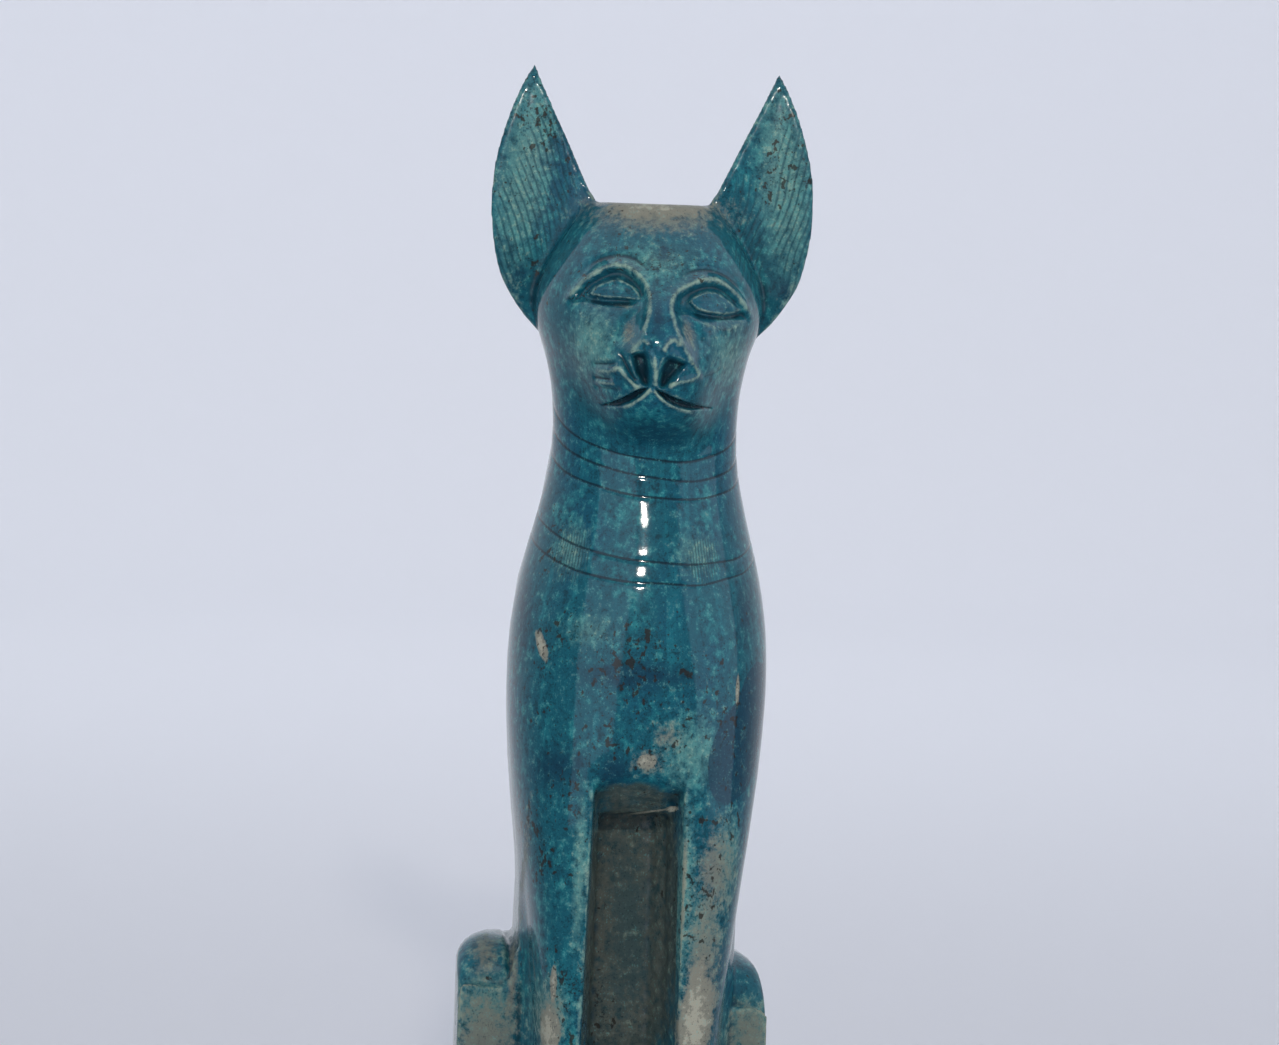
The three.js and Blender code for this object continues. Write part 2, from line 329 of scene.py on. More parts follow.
def spread(
    piece: bpy.types.Object,
    values: np.ndarray,
    times: int,
    share: np.ndarray | float = 1.0,
    back: float = 0.0,
) -> np.ndarray:
    """Averages values over neighbouring points, many times over.

    Args:
        piece: the object whose edges say which points are neighbours.
        values: one number, or one row, for each point.
        times: how often the average is taken.
        share: how much of it each point takes.
        back: how much of each average is given back, which keeps broad forms from shrinking.

    Returns:
        The softened values.
    """
    ends = np.empty(len(piece.data.edges) * 2, np.int32)
    piece.data.edges.foreach_get("vertices", ends)
    a, b = ends.reshape(-1, 2).T
    count = np.maximum(np.bincount(ends, minlength=len(values)), 1)[:, None]
    out = values.reshape(len(values), -1).astype(float)
    pull = np.broadcast_to(0.5 * np.asarray(share, float), len(values))[:, None]
    for _ in range(times):
        for way in (1.0, -back) if back else (1.0,):
            total = [np.bincount(a, c[b], len(values)) + np.bincount(b, c[a], len(values)) for c in out.T]
            out = out + way * pull * (np.stack(total, axis=1) / count - out)
    return out.reshape(values.shape)


def mark(piece: bpy.types.Object, name: str, values: np.ndarray) -> None:
    """Stores one number or one place for each point, for the glaze to read.

    Args:
        piece: the object whose mesh keeps them.
        name: what they are called.
        values: one number, or one row of three, for each point.
    """
    kind, field_name = ("FLOAT", "value") if values.ndim == 1 else ("FLOAT_VECTOR", "vector")
    layer = piece.data.attributes.new(name, kind, "POINT")
    layer.data.foreach_set(field_name, values.astype(np.float32).ravel())


# The carved forms


@dataclass(frozen=True)
class Stroke:
    """A ridge or a groove along a drawn line.

    It has a height, a half width, what the glaze does on it (1 sheds it, -1 pools it), and tapers.
    """

    line: Line
    out: float
    half: float
    shed: float
    start: float = 0.2
    end: float = 0.2

    def lay(self, x: np.ndarray, h: np.ndarray) -> tuple[np.ndarray, np.ndarray]:
        """Gives the stroke's relief and what the glaze does there.

        Args:
            x: places across.
            h: heights.

        Returns:
            Millimetres out of the surface, and the glaze's share shed.
        """
        away, along = to_path(x, h, curve(self.line))
        tapers = smooth(along, 0.0, self.start) * (1.0 - smooth(along, 1.0 - self.end, 1.0))
        trace = tapers * mound(away / self.half)
        return self.out * trace, self.shed * trace**2


@dataclass(frozen=True)
class Field:
    """A plane raised or sunk inside a drawn outline, where its wall starts and ends, and its glaze."""

    outline: Line
    out: float
    wall: tuple[float, float]
    shed: float = 0.0

    def lay(self, x: np.ndarray, h: np.ndarray) -> tuple[np.ndarray, np.ndarray]:
        """Gives the field's relief and what the glaze does there.

        Args:
            x: places across.
            h: heights.

        Returns:
            Millimetres out of the surface, and the glaze's share shed.
        """
        closed = curve([*self.outline, self.outline[0]], 4)
        away, _ = to_path(x, h, closed)
        crossed = np.zeros(np.shape(x), bool)
        for (ax, ah), (bx, bh) in zip(closed[:-1], closed[1:]):
            if ah != bh:
                spans = (h < ah) != (h < bh)
                crossed ^= spans & (x < ax + (h - ah) * (bx - ax) / (bh - ah))
        share = smooth(np.where(crossed, away, -away), *self.wall)
        return self.out * share, self.shed * share


LEFT_BROW: Line = (
    (-17.1, 189.5), (-15.3, 192.7), (-12.9, 195.4), (-10.1, 197.4), (-7.4, 198.5), (-4.7, 198.2),
    (-2.4, 196.7), (-1.1, 194.9), (-0.4, 192.5), (-0.6, 189.8), (-1.3, 186.9), (-2.1, 184.2),
)
RIGHT_BROW: Line = (
    (20.3, 187.2), (19.3, 190.2), (16.8, 193.3), (14.4, 195.4), (12, 196.4), (9.2, 196.1), (6.9, 195.1),
    (4.8, 193.8), (3.8, 191.7), (4.2, 188.5), (5.6, 185.2), (7.3, 182), (8.5, 179.8),
)
LEFT_EYE: Line = (
    (-12.3, 192.7), (-10.9, 194.1), (-9.4, 195), (-7.7, 195.6), (-6.2, 195.7), (-4.7, 195.2), (-3.5, 194.4),
    (-2.6, 193.4), (-2.2, 192.2), (-3.5, 192), (-5.9, 192.2), (-9, 192.2),
)
RIGHT_EYE: Line = (
    (7.2, 191.9), (7.8, 192.8), (8.9, 193.4), (10.2, 193.9), (11.6, 194), (12.8, 193.8), (14, 193.2),
    (15.2, 192.3), (16.4, 191.4), (17.5, 190.4), (15, 189.7), (12.5, 189.8), (9.3, 190.4),
)


@dataclass
class Face:
    """The face, drawn across the head from its middle, and in height above the base.

    Left and right are as someone who stands before the cat sees them.
    """

    middle: float = 0.8
    muzzle: Profile = Profile(
        (
            (161.5, 0), (163.5, 1.0), (165.5, 3.2), (167.5, 6.2), (169.5, 8.9), (172, 11.1), (176, 12.3),
            (180, 12), (183, 9.8), (187, 6.8), (191, 4.3), (195, 2.2), (199, 0.9), (203, 0),
        )
    )
    muzzle_half: Profile = Profile(
        ((164.5, 8.6), (168, 9.6), (172, 11), (176, 12.6), (180, 14.4), (185, 16.4), (190, 17.4), (200, 18))
    )
    bridge_middle: float = 1.7
    bridge: Profile = Profile(
        ((177, 0), (181, 1.6), (184, 3.4), (187, 3.7), (191, 3.1), (195, 1.7), (199, 0.5), (201, 0))
    )
    bridge_half: Profile = Profile(
        ((177, 4.6), (182, 6), (185, 5), (188.5, 3.7), (192, 3), (196, 3.1), (201, 4))
    )
    sockets: tuple[tuple[float, float], ...] = ((-7.4, 192.6), (11.8, 190.8))
    socket_half: tuple[float, float] = (7.4, 4.4)
    socket_depth: float = 1.1
    fields: tuple[Field, ...] = (
        # The sunk planes under the brows
        Field((*LEFT_BROW[:-3], (-2.8, 190.6), (-7.6, 190.2), (-12.4, 190.4)), -1.1, (0.5, 1.7)),
        Field((*RIGHT_BROW[:-3], (7, 188.8), (11.7, 188.1), (16.4, 188)), -1.1, (0.5, 1.7)),
        # The eyeballs: a steep edge, then a softer rise to the middle
        Field(LEFT_EYE, 1.3, (-0.4, 0.35)),
        Field(LEFT_EYE, 0.5, (0.6, 2.0)),
        Field(RIGHT_EYE, 1.3, (-0.4, 0.35)),
        Field(RIGHT_EYE, 0.5, (0.6, 2.0)),
        # The scoops on both sides of the nose
        Field(
            (
                (-1.7, 190.6), (-2.3, 187), (-3.4, 184.2), (-5.8, 182.6), (-7.6, 184.8), (-6.6, 188.4),
                (-4, 190.4),
            ),
            -0.8,
            (0, 2),
        ),
        Field(
            (
                (4.8, 189.6), (5.8, 186.4), (7.6, 182.7), (9, 180.9), (11.4, 182.6), (10.8, 186.5),
                (7.6, 189),
            ),
            -0.8,
            (0, 2),
        ),
        # The nostrils, where the glaze pools
        Field(
            (
                (-3.9, 181.7), (-2.6, 182.5), (-1.5, 182.5), (-0.6, 182), (-0.1, 180.6), (0, 178.3),
                (-0.3, 176), (-1.4, 175.7), (-2.3, 176.6), (-3.1, 178.1),
            ),
            -2.7,
            (-0.3, 1.3),
            -1.0,
        ),
        Field(
            (
                (2.1, 180.5), (3, 181.7), (4.2, 181.8), (5.8, 181.3), (7.1, 180.4), (5.9, 179), (4.9, 177.8),
                (3.9, 176.8), (2.8, 175.7), (1.4, 175.6), (1.4, 178),
            ),
            -2.7,
            (-0.3, 1.3),
            -1.0,
        ),
        # The two halves of the mouth
        Field(
            (
                (-0.5, 175.8), (-2.5, 175.3), (-4.1, 174.5), (-6, 173.4), (-7.9, 172.4), (-9.8, 171.3),
                (-7, 171.4), (-5.6, 171.9), (-4.2, 172.6), (-3, 173.4), (-1.6, 174.5),
            ),
            -1.9,
            (-0.2, 0.55),
            -1.2,
        ),
        Field(
            (
                (0.5, 175.7), (1.7, 175.1), (3.5, 174.2), (5.6, 173.4), (8, 172.6), (12, 171.4), (9, 171.3),
                (6.8, 171.4), (4.8, 171.9), (3, 172.7), (1.9, 173.6), (0.9, 174.6),
            ),
            -1.9,
            (-0.2, 0.55),
            -1.2,
        ),
    )
    strokes: tuple[Stroke, ...] = (
        # The brows: a sharp ridge on a broad swell
        Stroke(LEFT_BROW, 0.8, 0.7, 1.0, 0.12, 0.08),
        Stroke(RIGHT_BROW, 0.8, 0.7, 1.0, 0.12, 0.05),
        Stroke(LEFT_BROW, 0.35, 1.4, 0.0, 0.12, 0.08),
        Stroke(RIGHT_BROW, 0.35, 1.4, 0.0, 0.12, 0.05),
        # The grooves above the brows
        Stroke(
            (
                (-14.9, 195.6), (-12.3, 197.9), (-10.2, 199.2), (-8.2, 199.9), (-6.3, 200.2), (-4.4, 200),
                (-2.2, 198.9), (-0.4, 197), (0.8, 194.6),
            ),
            -0.5, 0.7, -0.8, 0.3, 0.3,
        ),
        Stroke(
            (
                (3.2, 193.8), (4.7, 195.6), (6.2, 197), (7.6, 197.7), (9.4, 198), (11.2, 198), (12.9, 197.5),
                (14.6, 196.7), (17.2, 194.5), (19.9, 191.6),
            ),
            -0.5, 0.7, -0.8, 0.3, 0.3,
        ),
        # The upper and the lower lids
        Stroke(LEFT_EYE[:9], 0.3, 0.6, 0.4, 0.1, 0.1),
        Stroke(RIGHT_EYE[:10], 0.3, 0.6, 0.4, 0.1, 0.1),
        Stroke((*LEFT_EYE[8:], LEFT_EYE[0]), 0.3, 0.6, 0.5, 0.1, 0.1),
        Stroke((*RIGHT_EYE[9:], RIGHT_EYE[0]), 0.3, 0.6, 0.5, 0.1, 0.1),
        # The grooves under the eyes, and a fold below the right one
        Stroke(((-13.2, 191.6), (-10, 191.1), (-7.6, 191), (-5.1, 191.1), (-2.4, 191.5)), -0.75, 0.7, -0.9),
        Stroke(
            ((6.6, 190.4), (9.3, 189.3), (11.7, 189), (14.3, 189), (16.6, 189.3), (19, 189.9)),
            -0.75, 0.7, -0.9,
        ),
        Stroke(
            ((8.6, 188.2), (11.7, 187.4), (13.3, 186.9), (15, 186.8), (16.8, 187.5), (18.6, 188.4)),
            0.5, 0.7, 0.7,
        ),
        # The rims over the nostrils, and the ridge between them
        Stroke(
            (
                (-4.4, 181.2), (-3.6, 182.6), (-2.9, 183.6), (-2.1, 184.2), (-1.3, 184.4), (-0.6, 184),
                (0, 183),
            ),
            0.6, 0.75, 1.0,
        ),
        Stroke(
            ((2.2, 182), (2.8, 183.5), (3.5, 184.5), (4.3, 184.8), (5.1, 184.4), (6, 183.2)),
            0.6, 0.75, 1.0,
        ),
        Stroke(
            ((0.4, 182.6), (0.7, 181.4), (0.8, 180), (0.8, 178.2), (0.6, 176.6), (0.5, 175.6)),
            0.4, 0.55, 0.9, 0.3, 0.1,
        ),
        # The cut beside the left nostril, and the puffs on both sides of the nose
        Stroke(((-6.1, 182.6), (-5.1, 180.7), (-4.4, 179.2), (-3.5, 177.6), (-2.2, 175.9)), -1.0, 0.5, -0.9),
        Stroke(
            ((-8, 178.9), (-6.4, 179.2), (-5.6, 178.4), (-4.6, 177.2), (-3.6, 176.2), (-2.3, 175.2)),
            0.6, 0.6, 1.0, 0.2, 0.1,
        ),
        Stroke(
            (
                (7.5, 181.2), (8.6, 179.8), (9.2, 178.4), (8.3, 177.5), (7, 177.1), (5.6, 176.9),
                (4.2, 176.4), (2.8, 175.6),
            ),
            0.6, 0.6, 1.0, 0.1, 0.1,
        ),
        # The lower lip
        Stroke(
            ((-7.4, 171), (-5.6, 171.5), (-4.2, 172.2), (-3, 173), (-1.6, 174.1), (0, 175.4)),
            0.4, 0.6, 0.75, 0.25, 0.05,
        ),
        Stroke(
            ((0.3, 175.3), (0.9, 174), (1.9, 173), (3, 172.1), (4.8, 171.4), (7.3, 170.8), (9.4, 170.6)),
            0.4, 0.6, 0.75, 0.05, 0.25,
        ),
        # The whisker grooves and the folds between them
        Stroke(((-11.4, 179.5), (-6, 179.9)), -0.9, 0.5, -0.7),
        Stroke(((-11.2, 176.9), (-7.2, 176.7)), -0.9, 0.5, -0.9),
        Stroke(((-11.2, 175), (-5.6, 174.9)), -0.8, 0.5, -0.6),
        Stroke(((-10.6, 178.1), (-7.8, 178.4), (-6, 178.8)), 0.6, 0.6, 0.9),
        Stroke(((-10.6, 175.9), (-6.6, 176)), 0.5, 0.5, 0.8),
        Stroke(((9.4, 177.7), (11.9, 178.3), (14.1, 179.2)), -0.5, 0.5, -0.6),
    )

    def broad(self, across: np.ndarray, h: np.ndarray) -> np.ndarray:
        """Gives the broad forms: how far muzzle, nose and eyes stand out of the plain head.

        Args:
            across: places across the head.
            h: heights above the base.

        Returns:
            Millimetres out of the head.
        """
        out = self.muzzle.at(h) * np.exp(-(((across - self.middle) / self.muzzle_half.at(h)) ** 4))
        beside = np.abs((across - self.bridge_middle) / self.bridge_half.at(h))
        out += self.bridge.at(h) * np.exp(-(beside**3))
        for x, high in self.sockets:
            u, v = (across - x) / self.socket_half[0], (h - high) / self.socket_half[1]
            out -= self.socket_depth * np.exp(-((u**2 + v**2) ** 2))
        return out

    def carve(self, x: np.ndarray, h: np.ndarray) -> tuple[np.ndarray, np.ndarray]:
        """Gives the sharp carving, ridges, lids, slits and scoops, and what the glaze does on it.

        Args:
            x: places across the head.
            h: heights above the base.

        Returns:
            Millimetres out of the surface, less than 0 where it is cut in, and the glaze's share shed.
        """
        laid = [form.lay(x, h) for form in (*self.fields, *self.strokes)]
        return sum(relief for relief, _ in laid), sum(shed for _, shed in laid)


@dataclass(frozen=True)
class Ring:
    """One incised ring: its height on the breast, and how it climbs backwards and across."""

    height: float
    rise: float
    lean: float


@dataclass
class NeckRings:
    """The incised rings: three close together at the throat, and two on the breast."""

    rings: tuple[Ring, ...] = (
        Ring(137.3, 0.295, -0.043),
        Ring(141.4, 0.27, -0.083),
        Ring(153.7, 0.323, -0.085),
        Ring(157.3, 0.377, -0.095),
        Ring(160.7, 0.48, -0.062),
    )
    lowest: float = 130.0
    highest: float = 178.0
    depth: float = 0.15
    half: float = 0.4
    wobble: Swell = Swell(0.18, 15.0, 40)

    def row(self, points: Points, breast: np.ndarray) -> np.ndarray:
        """Gives each place's height as the rings count it: level along a ring.

        Args:
            points: places above the base.
            breast: how far forward the breast is at each.

        Returns:
            The height at which the ring through each place crosses the breast.
        """
        x, y, h = points.T
        sway = self.wobble.at(points)
        above = [h + sway - ring.height - ring.rise * (y - breast) - ring.lean * x for ring in self.rings]
        row = np.where(above[0] < 0.0, self.rings[0].height + above[0], self.rings[-1].height + above[-1])
        for low, high, under, over in zip(self.rings, self.rings[1:], above, above[1:]):
            between = (under >= 0.0) & (over < 0.0)
            share = under / np.where(between, under - over, 1.0)
            row = np.where(between, low.height + (high.height - low.height) * share, row)
        return row

    def gap(self, row: np.ndarray) -> np.ndarray:
        """Gives the distance from each place to the nearest ring."""
        return np.min([np.abs(row - ring.height) for ring in self.rings], axis=0)

    def cut(self, row: np.ndarray) -> np.ndarray:
        """Gives the depth of the grooves.

        Args:
            row: each place's height as the rings count it.

        Returns:
            Millimetres out of the surface, less than 0 in a groove.
        """
        return -self.depth * sum(mound((row - ring.height) / self.half) for ring in self.rings)


@dataclass
class Body:
    """Legs, chest, neck and head as one form, from the profiles that the solid is made from."""

    sunk: float = 2.0
    crown: float = 210.4
    rim: float = 208.0
    head_turn: float = math.radians(4.5)
    turn_rows: tuple[float, float] = (160.0, 182.0)
    rise: float = 0.26
    lean: float = -0.09
    tilt_starts: tuple[float, float] = (122.0, 136.0)
    tilt_ends: tuple[float, float] = (161.0, 184.0)
    legs_top: float = 97.0
    front_columns: float = 0.35
    face_edge: tuple[float, float] = (0.1, 0.55)
    face_foot: float = 160.0
    crown_y: float = -3.0
    crown_edge: float = 11.0
    flank: Profile = Profile(
        (
            (-2, 22), (45, 22), (66, 21.9), (75, 22.1), (84, 23), (93, 24.2), (107, 25.5), (118, 25.8),
            (128, 25.2), (138, 23.5), (148, 21), (157, 19), (164, 18.3), (172, 18.6), (180, 20.1), (186, 22),
            (190.5, 22.6), (195, 21.8), (200, 19.6), (205, 16.6), (209, 14),
        )
    )
    forelegs: Profile = Profile(
        ((-2, 19), (30, 18.6), (48, 19), (63, 20.3), (75, 21.6), (84, 22.8), (97, 24.6))
    )
    breast: Profile = Profile(
        (
            (-2, -28.5), (30, -28.5), (60, -29.3), (90, -30.6), (107, -31.4), (118, -31.2), (128, -29.6),
            (138, -26.8), (143, -25.1), (148, -23.6), (156, -21.2), (163, -20.4), (171, -21.6), (179, -23.2),
            (187, -24.6), (193, -24.8), (199, -22.9), (204, -19.6), (208, -15),
        )
    )
    spine: Profile = Profile(
        (
            (-2, 40.5), (10, 43), (25, 43.8), (45, 42.4), (60, 39.8), (75, 36.4), (90, 32.8), (105, 28.8),
            (120, 24.8), (135, 20.4), (147, 17), (158, 15), (168, 14.6), (178, 15.4), (188, 16),
            (196, 14.8), (203, 11.4), (208, 7.5),
        )
    )
    widest: Profile = Profile(((-2, 5), (60, 5), (90, -1), (118, -4), (160, -3), (210.4, -3)))
    square_front: Profile = Profile(
        ((-2, 4.6), (60, 4.4), (86, 3.4), (100, 2.7), (118, 2.35), (150, 2.1), (210.4, 2.5))
    )
    square_back: Profile = Profile(((-2, 2.6), (60, 2.4), (118, 2.2), (210.4, 2.4)))
    leg_step: tuple[float, float] = (-14.0, -5.0)
    face: Face = field(default_factory=Face)
    rings: NeckRings = field(default_factory=NeckRings)

    def section(self, h: np.ndarray, angle: np.ndarray) -> tuple[np.ndarray, np.ndarray]:
        """Gives the plain section with no face.

        Args:
            h: heights above the base.
            angle: directions round the section.

        Returns:
            Places across and from front to back.
        """
        across, deep = np.cos(angle), np.sin(angle)
        square = np.where(deep < 0.0, self.square_front.at(h), self.square_back.at(h))
        widest = self.widest.at(h)
        reach = np.where(deep < 0.0, widest - self.breast.at(h), self.spine.at(h) - widest)
        y = widest + np.sign(deep) * np.abs(deep) ** (2.0 / square) * reach
        flank = self.flank.at(h)
        legs = np.where(h < self.legs_top, np.minimum(self.forelegs.at(h), flank), flank)
        half = mix(legs, flank, smooth(y, *self.leg_step))
        return np.sign(across) * np.abs(across) ** (2.0 / square) * half, y

    def turn(self, row: np.ndarray) -> np.ndarray:
        """Gives how far the head is turned at each height."""
        return self.head_turn * smooth(row, *self.turn_rows)

    def place(self, share: np.ndarray, angle: np.ndarray) -> Points:
        """Places each point of the body's skin.

        Args:
            share: from 0 at the sole to 1 at the crown.
            angle: directions round the body.

        Returns:
            Places in millimetres above the floor of the base.
        """
        sole, top = 0.01, 0.95
        row = mix(-self.sunk, self.rim, np.clip((share - sole) / (top - sole), 0.0, 1.0))
        # More of the columns lie in front, where the face needs them
        angle = angle - self.front_columns * np.sin(angle + math.pi / 2)
        # The rows of the neck tilt as its rings do
        tilt = smooth(row, *self.tilt_starts) * (1.0 - smooth(row, *self.tilt_ends))
        h = row.copy()
        x, y = self.section(h, angle)
        for _ in range(5):
            h = row + tilt * (self.rise * (y - self.breast.at(row)) + self.lean * x)
            x, y = self.section(h, angle)
        front = smooth(-np.sin(angle), *self.face_edge) * (h > self.face_foot)
        y = y - front * self.face.broad(x, h)
        # The sole closes flat, and the crown closes over a rounded rim
        inset = np.clip((share - top) / (1.0 - top), 0.0, 1.0) ** 1.6
        foot = np.clip(share / sole, 0.0, 1.0)
        x, y = x * foot * (1.0 - inset), mix(self.crown_y, mix(0.0, y, foot), 1.0 - inset)
        h = mix(h, self.crown, 1.0 - (1.0 - inset) ** self.crown_edge)
        return turned(np.stack([x, y, h], axis=1), self.turn(row))

    def to_head(self, points: Points) -> Points:
        """Turns places back so that the face looks straight ahead.

        Args:
            points: places above the base.

        Returns:
            The same places as the head counts them.
        """
        return turned(points, -self.turn(points[:, 2]))

    def build(self) -> bpy.types.Object:
        """Makes the body."""
        return loft("body_and_head", around=288, along=340, place=self.place)


@dataclass
class Ear:
    """An ear: a leaf that is dished in front, with its edges curled forward."""

    side: int
    head_turn: float
    foot: float = 184.5
    tip: float = 237.0
    outer: Profile = Profile(
        (
            (184.5, 21.8), (187.5, 24.5), (191, 27), (195, 29.2), (199, 30.4), (205, 31.4), (211, 31.6),
            (217, 31.2), (223, 29.9), (229, 28), (233, 26.3), (235.6, 24.9), (236.6, 24.1),
        )
    )
    inner: Profile = Profile(
        ((184.5, 15), (200, 11), (210, 11), (213, 12.8), (222, 17.1), (230, 21), (235.6, 23.6), (236.6, 23.9))
    )
    thick: Profile = Profile(((184.5, 4), (195, 6), (210, 5), (225, 3.4), (236.6, 1.2)))
    lean: Profile = Profile(((184.5, -1), (205, -2.5), (236.6, -1)))
    curl: float = 3.0
    curl_half: float = 9.0
    square: float = 0.8

    def place(self, share: np.ndarray, angle: np.ndarray) -> Points:
        """Places each point of the ear's skin.

        Args:
            share: from 0 at the foot to 1 at the tip.
            angle: directions round the ear.

        Returns:
            Places above the base.
        """
        cap = 0.01
        rise = np.clip((share - cap) / (1.0 - 2.0 * cap), 0.0, 1.0)
        closing = np.clip(np.minimum(share, 1.0 - share) / cap, 0.0, 1.0)
        h = mix(self.foot, self.tip, rise)
        half = np.maximum((self.outer.at(h) - self.inner.at(h)) / 2.0, 0.3)
        across, through = power(np.cos(angle), self.square), power(np.sin(angle), self.square)
        dish = self.curl * (half / self.curl_half) * across**2
        y = self.lean.at(h) + closing * through * self.thick.at(h) / 2.0 - dish
        x = self.side * (self.inner.at(h) + half + closing * across * half)
        return turned(np.stack([x, y, h], axis=1), self.head_turn)

    def build(self) -> bpy.types.Object:
        """Makes the ear."""
        return loft("ear", around=96, along=140, place=self.place)


@dataclass
class Haunch:
    """A haunch: a block up to a ledge in front, and the rounded thigh behind it."""

    side: int
    outer: float
    top: float
    round_x: float
    round_h: float
    inner: float = 15.0
    front: float = -8.0
    crest: float = 6.0
    back: float = 41.0
    lip: float = 1.6
    ledge_below_top: float = 9.1
    block_round: float = 1.6
    rim: tuple[float, float] = (0.0, 0.0)
    rim_inside: tuple[float, float] = (22.2, 23.6)
    rim_outside: float = 6.0
    crease: float = 0.0
    crease_at: float = 23.0
    crease_half: float = 0.65
    crease_ends: tuple[float, float] = (8.0, 18.0)
    dome_power: float = 2.4
    rump_power: float = 2.1
    waist: float = 22.5
    waist_round: tuple[float, float] = (16.0, 42.0)
    sunk: float = 2.0

    def place(self, share: np.ndarray, angle: np.ndarray) -> Points:
        """Places each point of the haunch's skin.

        Args:
            share: from 0 at the front to 1 at the back.
            angle: directions round a slice.

        Returns:
            Places above the base.
        """
        ledge = self.top - self.ledge_below_top
        step = self.front + self.lip
        face, shelf, end = 0.2, 0.24, 0.98
        back = np.clip((share - shelf) / (end - shelf), 0.0, 1.0)
        # The block's face steps back over a lip to the ledge, and the thigh starts behind it
        over_lip = mix(self.front, step, smooth(share, face, shelf))
        y = np.where(share < shelf, over_lip, mix(step, self.back, back**1.2))
        # The thigh domes up to its crest, and falls away to the rump
        rise = np.clip((self.crest - y) / (self.crest - step), 0.0, 1.0)
        fall = np.clip((y - self.crest) / (self.back - self.crest), 0.0, 1.0)
        dome = mix(ledge, self.top, (1.0 - rise**self.dome_power) ** (1.0 / self.dome_power))
        rump = self.top * (1.0 - fall**self.dome_power) ** (1.0 / self.rump_power)
        high = np.where(y < self.crest, dome, rump)
        high = np.maximum(np.where(share < shelf, ledge - 0.8 * (share < face), high), 3.0)
        # Backwards it narrows, and its rounding grows
        waist = smooth(y, self.crest - 4.0, self.back + 4.0)
        width = self.outer - (self.outer - self.waist) * waist**1.6 - 1.2 * (share < face)
        behind = smooth(share, face, shelf)
        rx = mix(mix(self.block_round, self.round_x, behind), self.waist_round[0], waist)
        rx = np.minimum(rx, width - self.inner - 1.0)
        rz = mix(mix(self.block_round, self.round_h, behind), self.waist_round[1], waist)
        rz = np.minimum(rz, high * 0.7)
        start = np.clip(share / (face * 0.9), 0.0, 1.0)
        close = np.minimum(start, np.clip((1.0 - share) / (1.0 - end), 0.0, 1.0))
        x, h = self.corner(angle, width, high, rx, rz)
        # The ledge may have a raised rim, and the thigh a crease beside the body
        upper = smooth(h, high - rz - 0.5, high - 0.1 * rz)
        edge = self.rim[0] * smooth(x, self.outer - self.rim_outside, self.outer)
        edge += self.rim[1] * (1.0 - smooth(x, *self.rim_inside))
        h = h + upper * edge * (share < shelf)
        groove = self.crease * mound((x - self.crease_at) / self.crease_half)
        h = h - upper * groove * (share >= shelf) * (1.0 - smooth(y, *self.crease_ends))
        # Both ends close to the middle of their slice
        middle_x, middle_h = (width + self.inner) / 2.0, (high - self.sunk) / 2.0
        x, h = mix(middle_x, x, close), mix(middle_h, h, close)
        return np.stack([self.side * x, y, h], axis=1)

    def corner(
        self, angle: np.ndarray, width: np.ndarray, high: np.ndarray, rx: np.ndarray, rz: np.ndarray
    ) -> tuple[np.ndarray, np.ndarray]:
        """Gives a slice: a tall block whose outer top corner is rounded.

        Args:
            angle: directions round the slice.
            width: how far out the slice reaches.
            high: how high it reaches.
            rx: how wide the rounding is.
            rz: how tall the rounding is.

        Returns:
            Places outwards and heights.
        """
        low = -self.sunk
        turns = (angle / (2.0 * math.pi)) % 1.0
        x, h = np.empty_like(turns), np.empty_like(turns)
        arc = turns * 4.0
        bend = np.clip((arc - 1.0), 0.0, 1.0) * math.pi / 2.0
        rounded, top, inner, under, whole = 1.0, 2.0, 2.7, 3.5, 4.0
        sides = [
            arc < rounded,
            (arc >= rounded) & (arc < top),
            (arc >= top) & (arc < inner),
            (arc >= inner) & (arc < under),
            arc >= under,
        ]
        xs = [
            width,
            width - rx + rx * np.cos(bend) ** 0.9,
            mix(width - rx, self.inner, (arc - top) / (inner - top)),
            self.inner,
            mix(self.inner, width, (arc - under) / (whole - under)),
        ]
        hs = [
            mix(low, high - rz, arc),
            high - rz + rz * np.sin(bend) ** 0.9,
            high,
            mix(high, low, (arc - inner) / (under - inner)),
            low,
        ]
        for side, sx, sh in zip(sides, xs, hs):
            x[side] = np.broadcast_to(sx, turns.shape)[side]
            h[side] = np.broadcast_to(sh, turns.shape)[side]
        return x, h

    def build(self) -> bpy.types.Object:
        """Makes the haunch."""
        return loft("haunch", around=160, along=120, place=self.place)


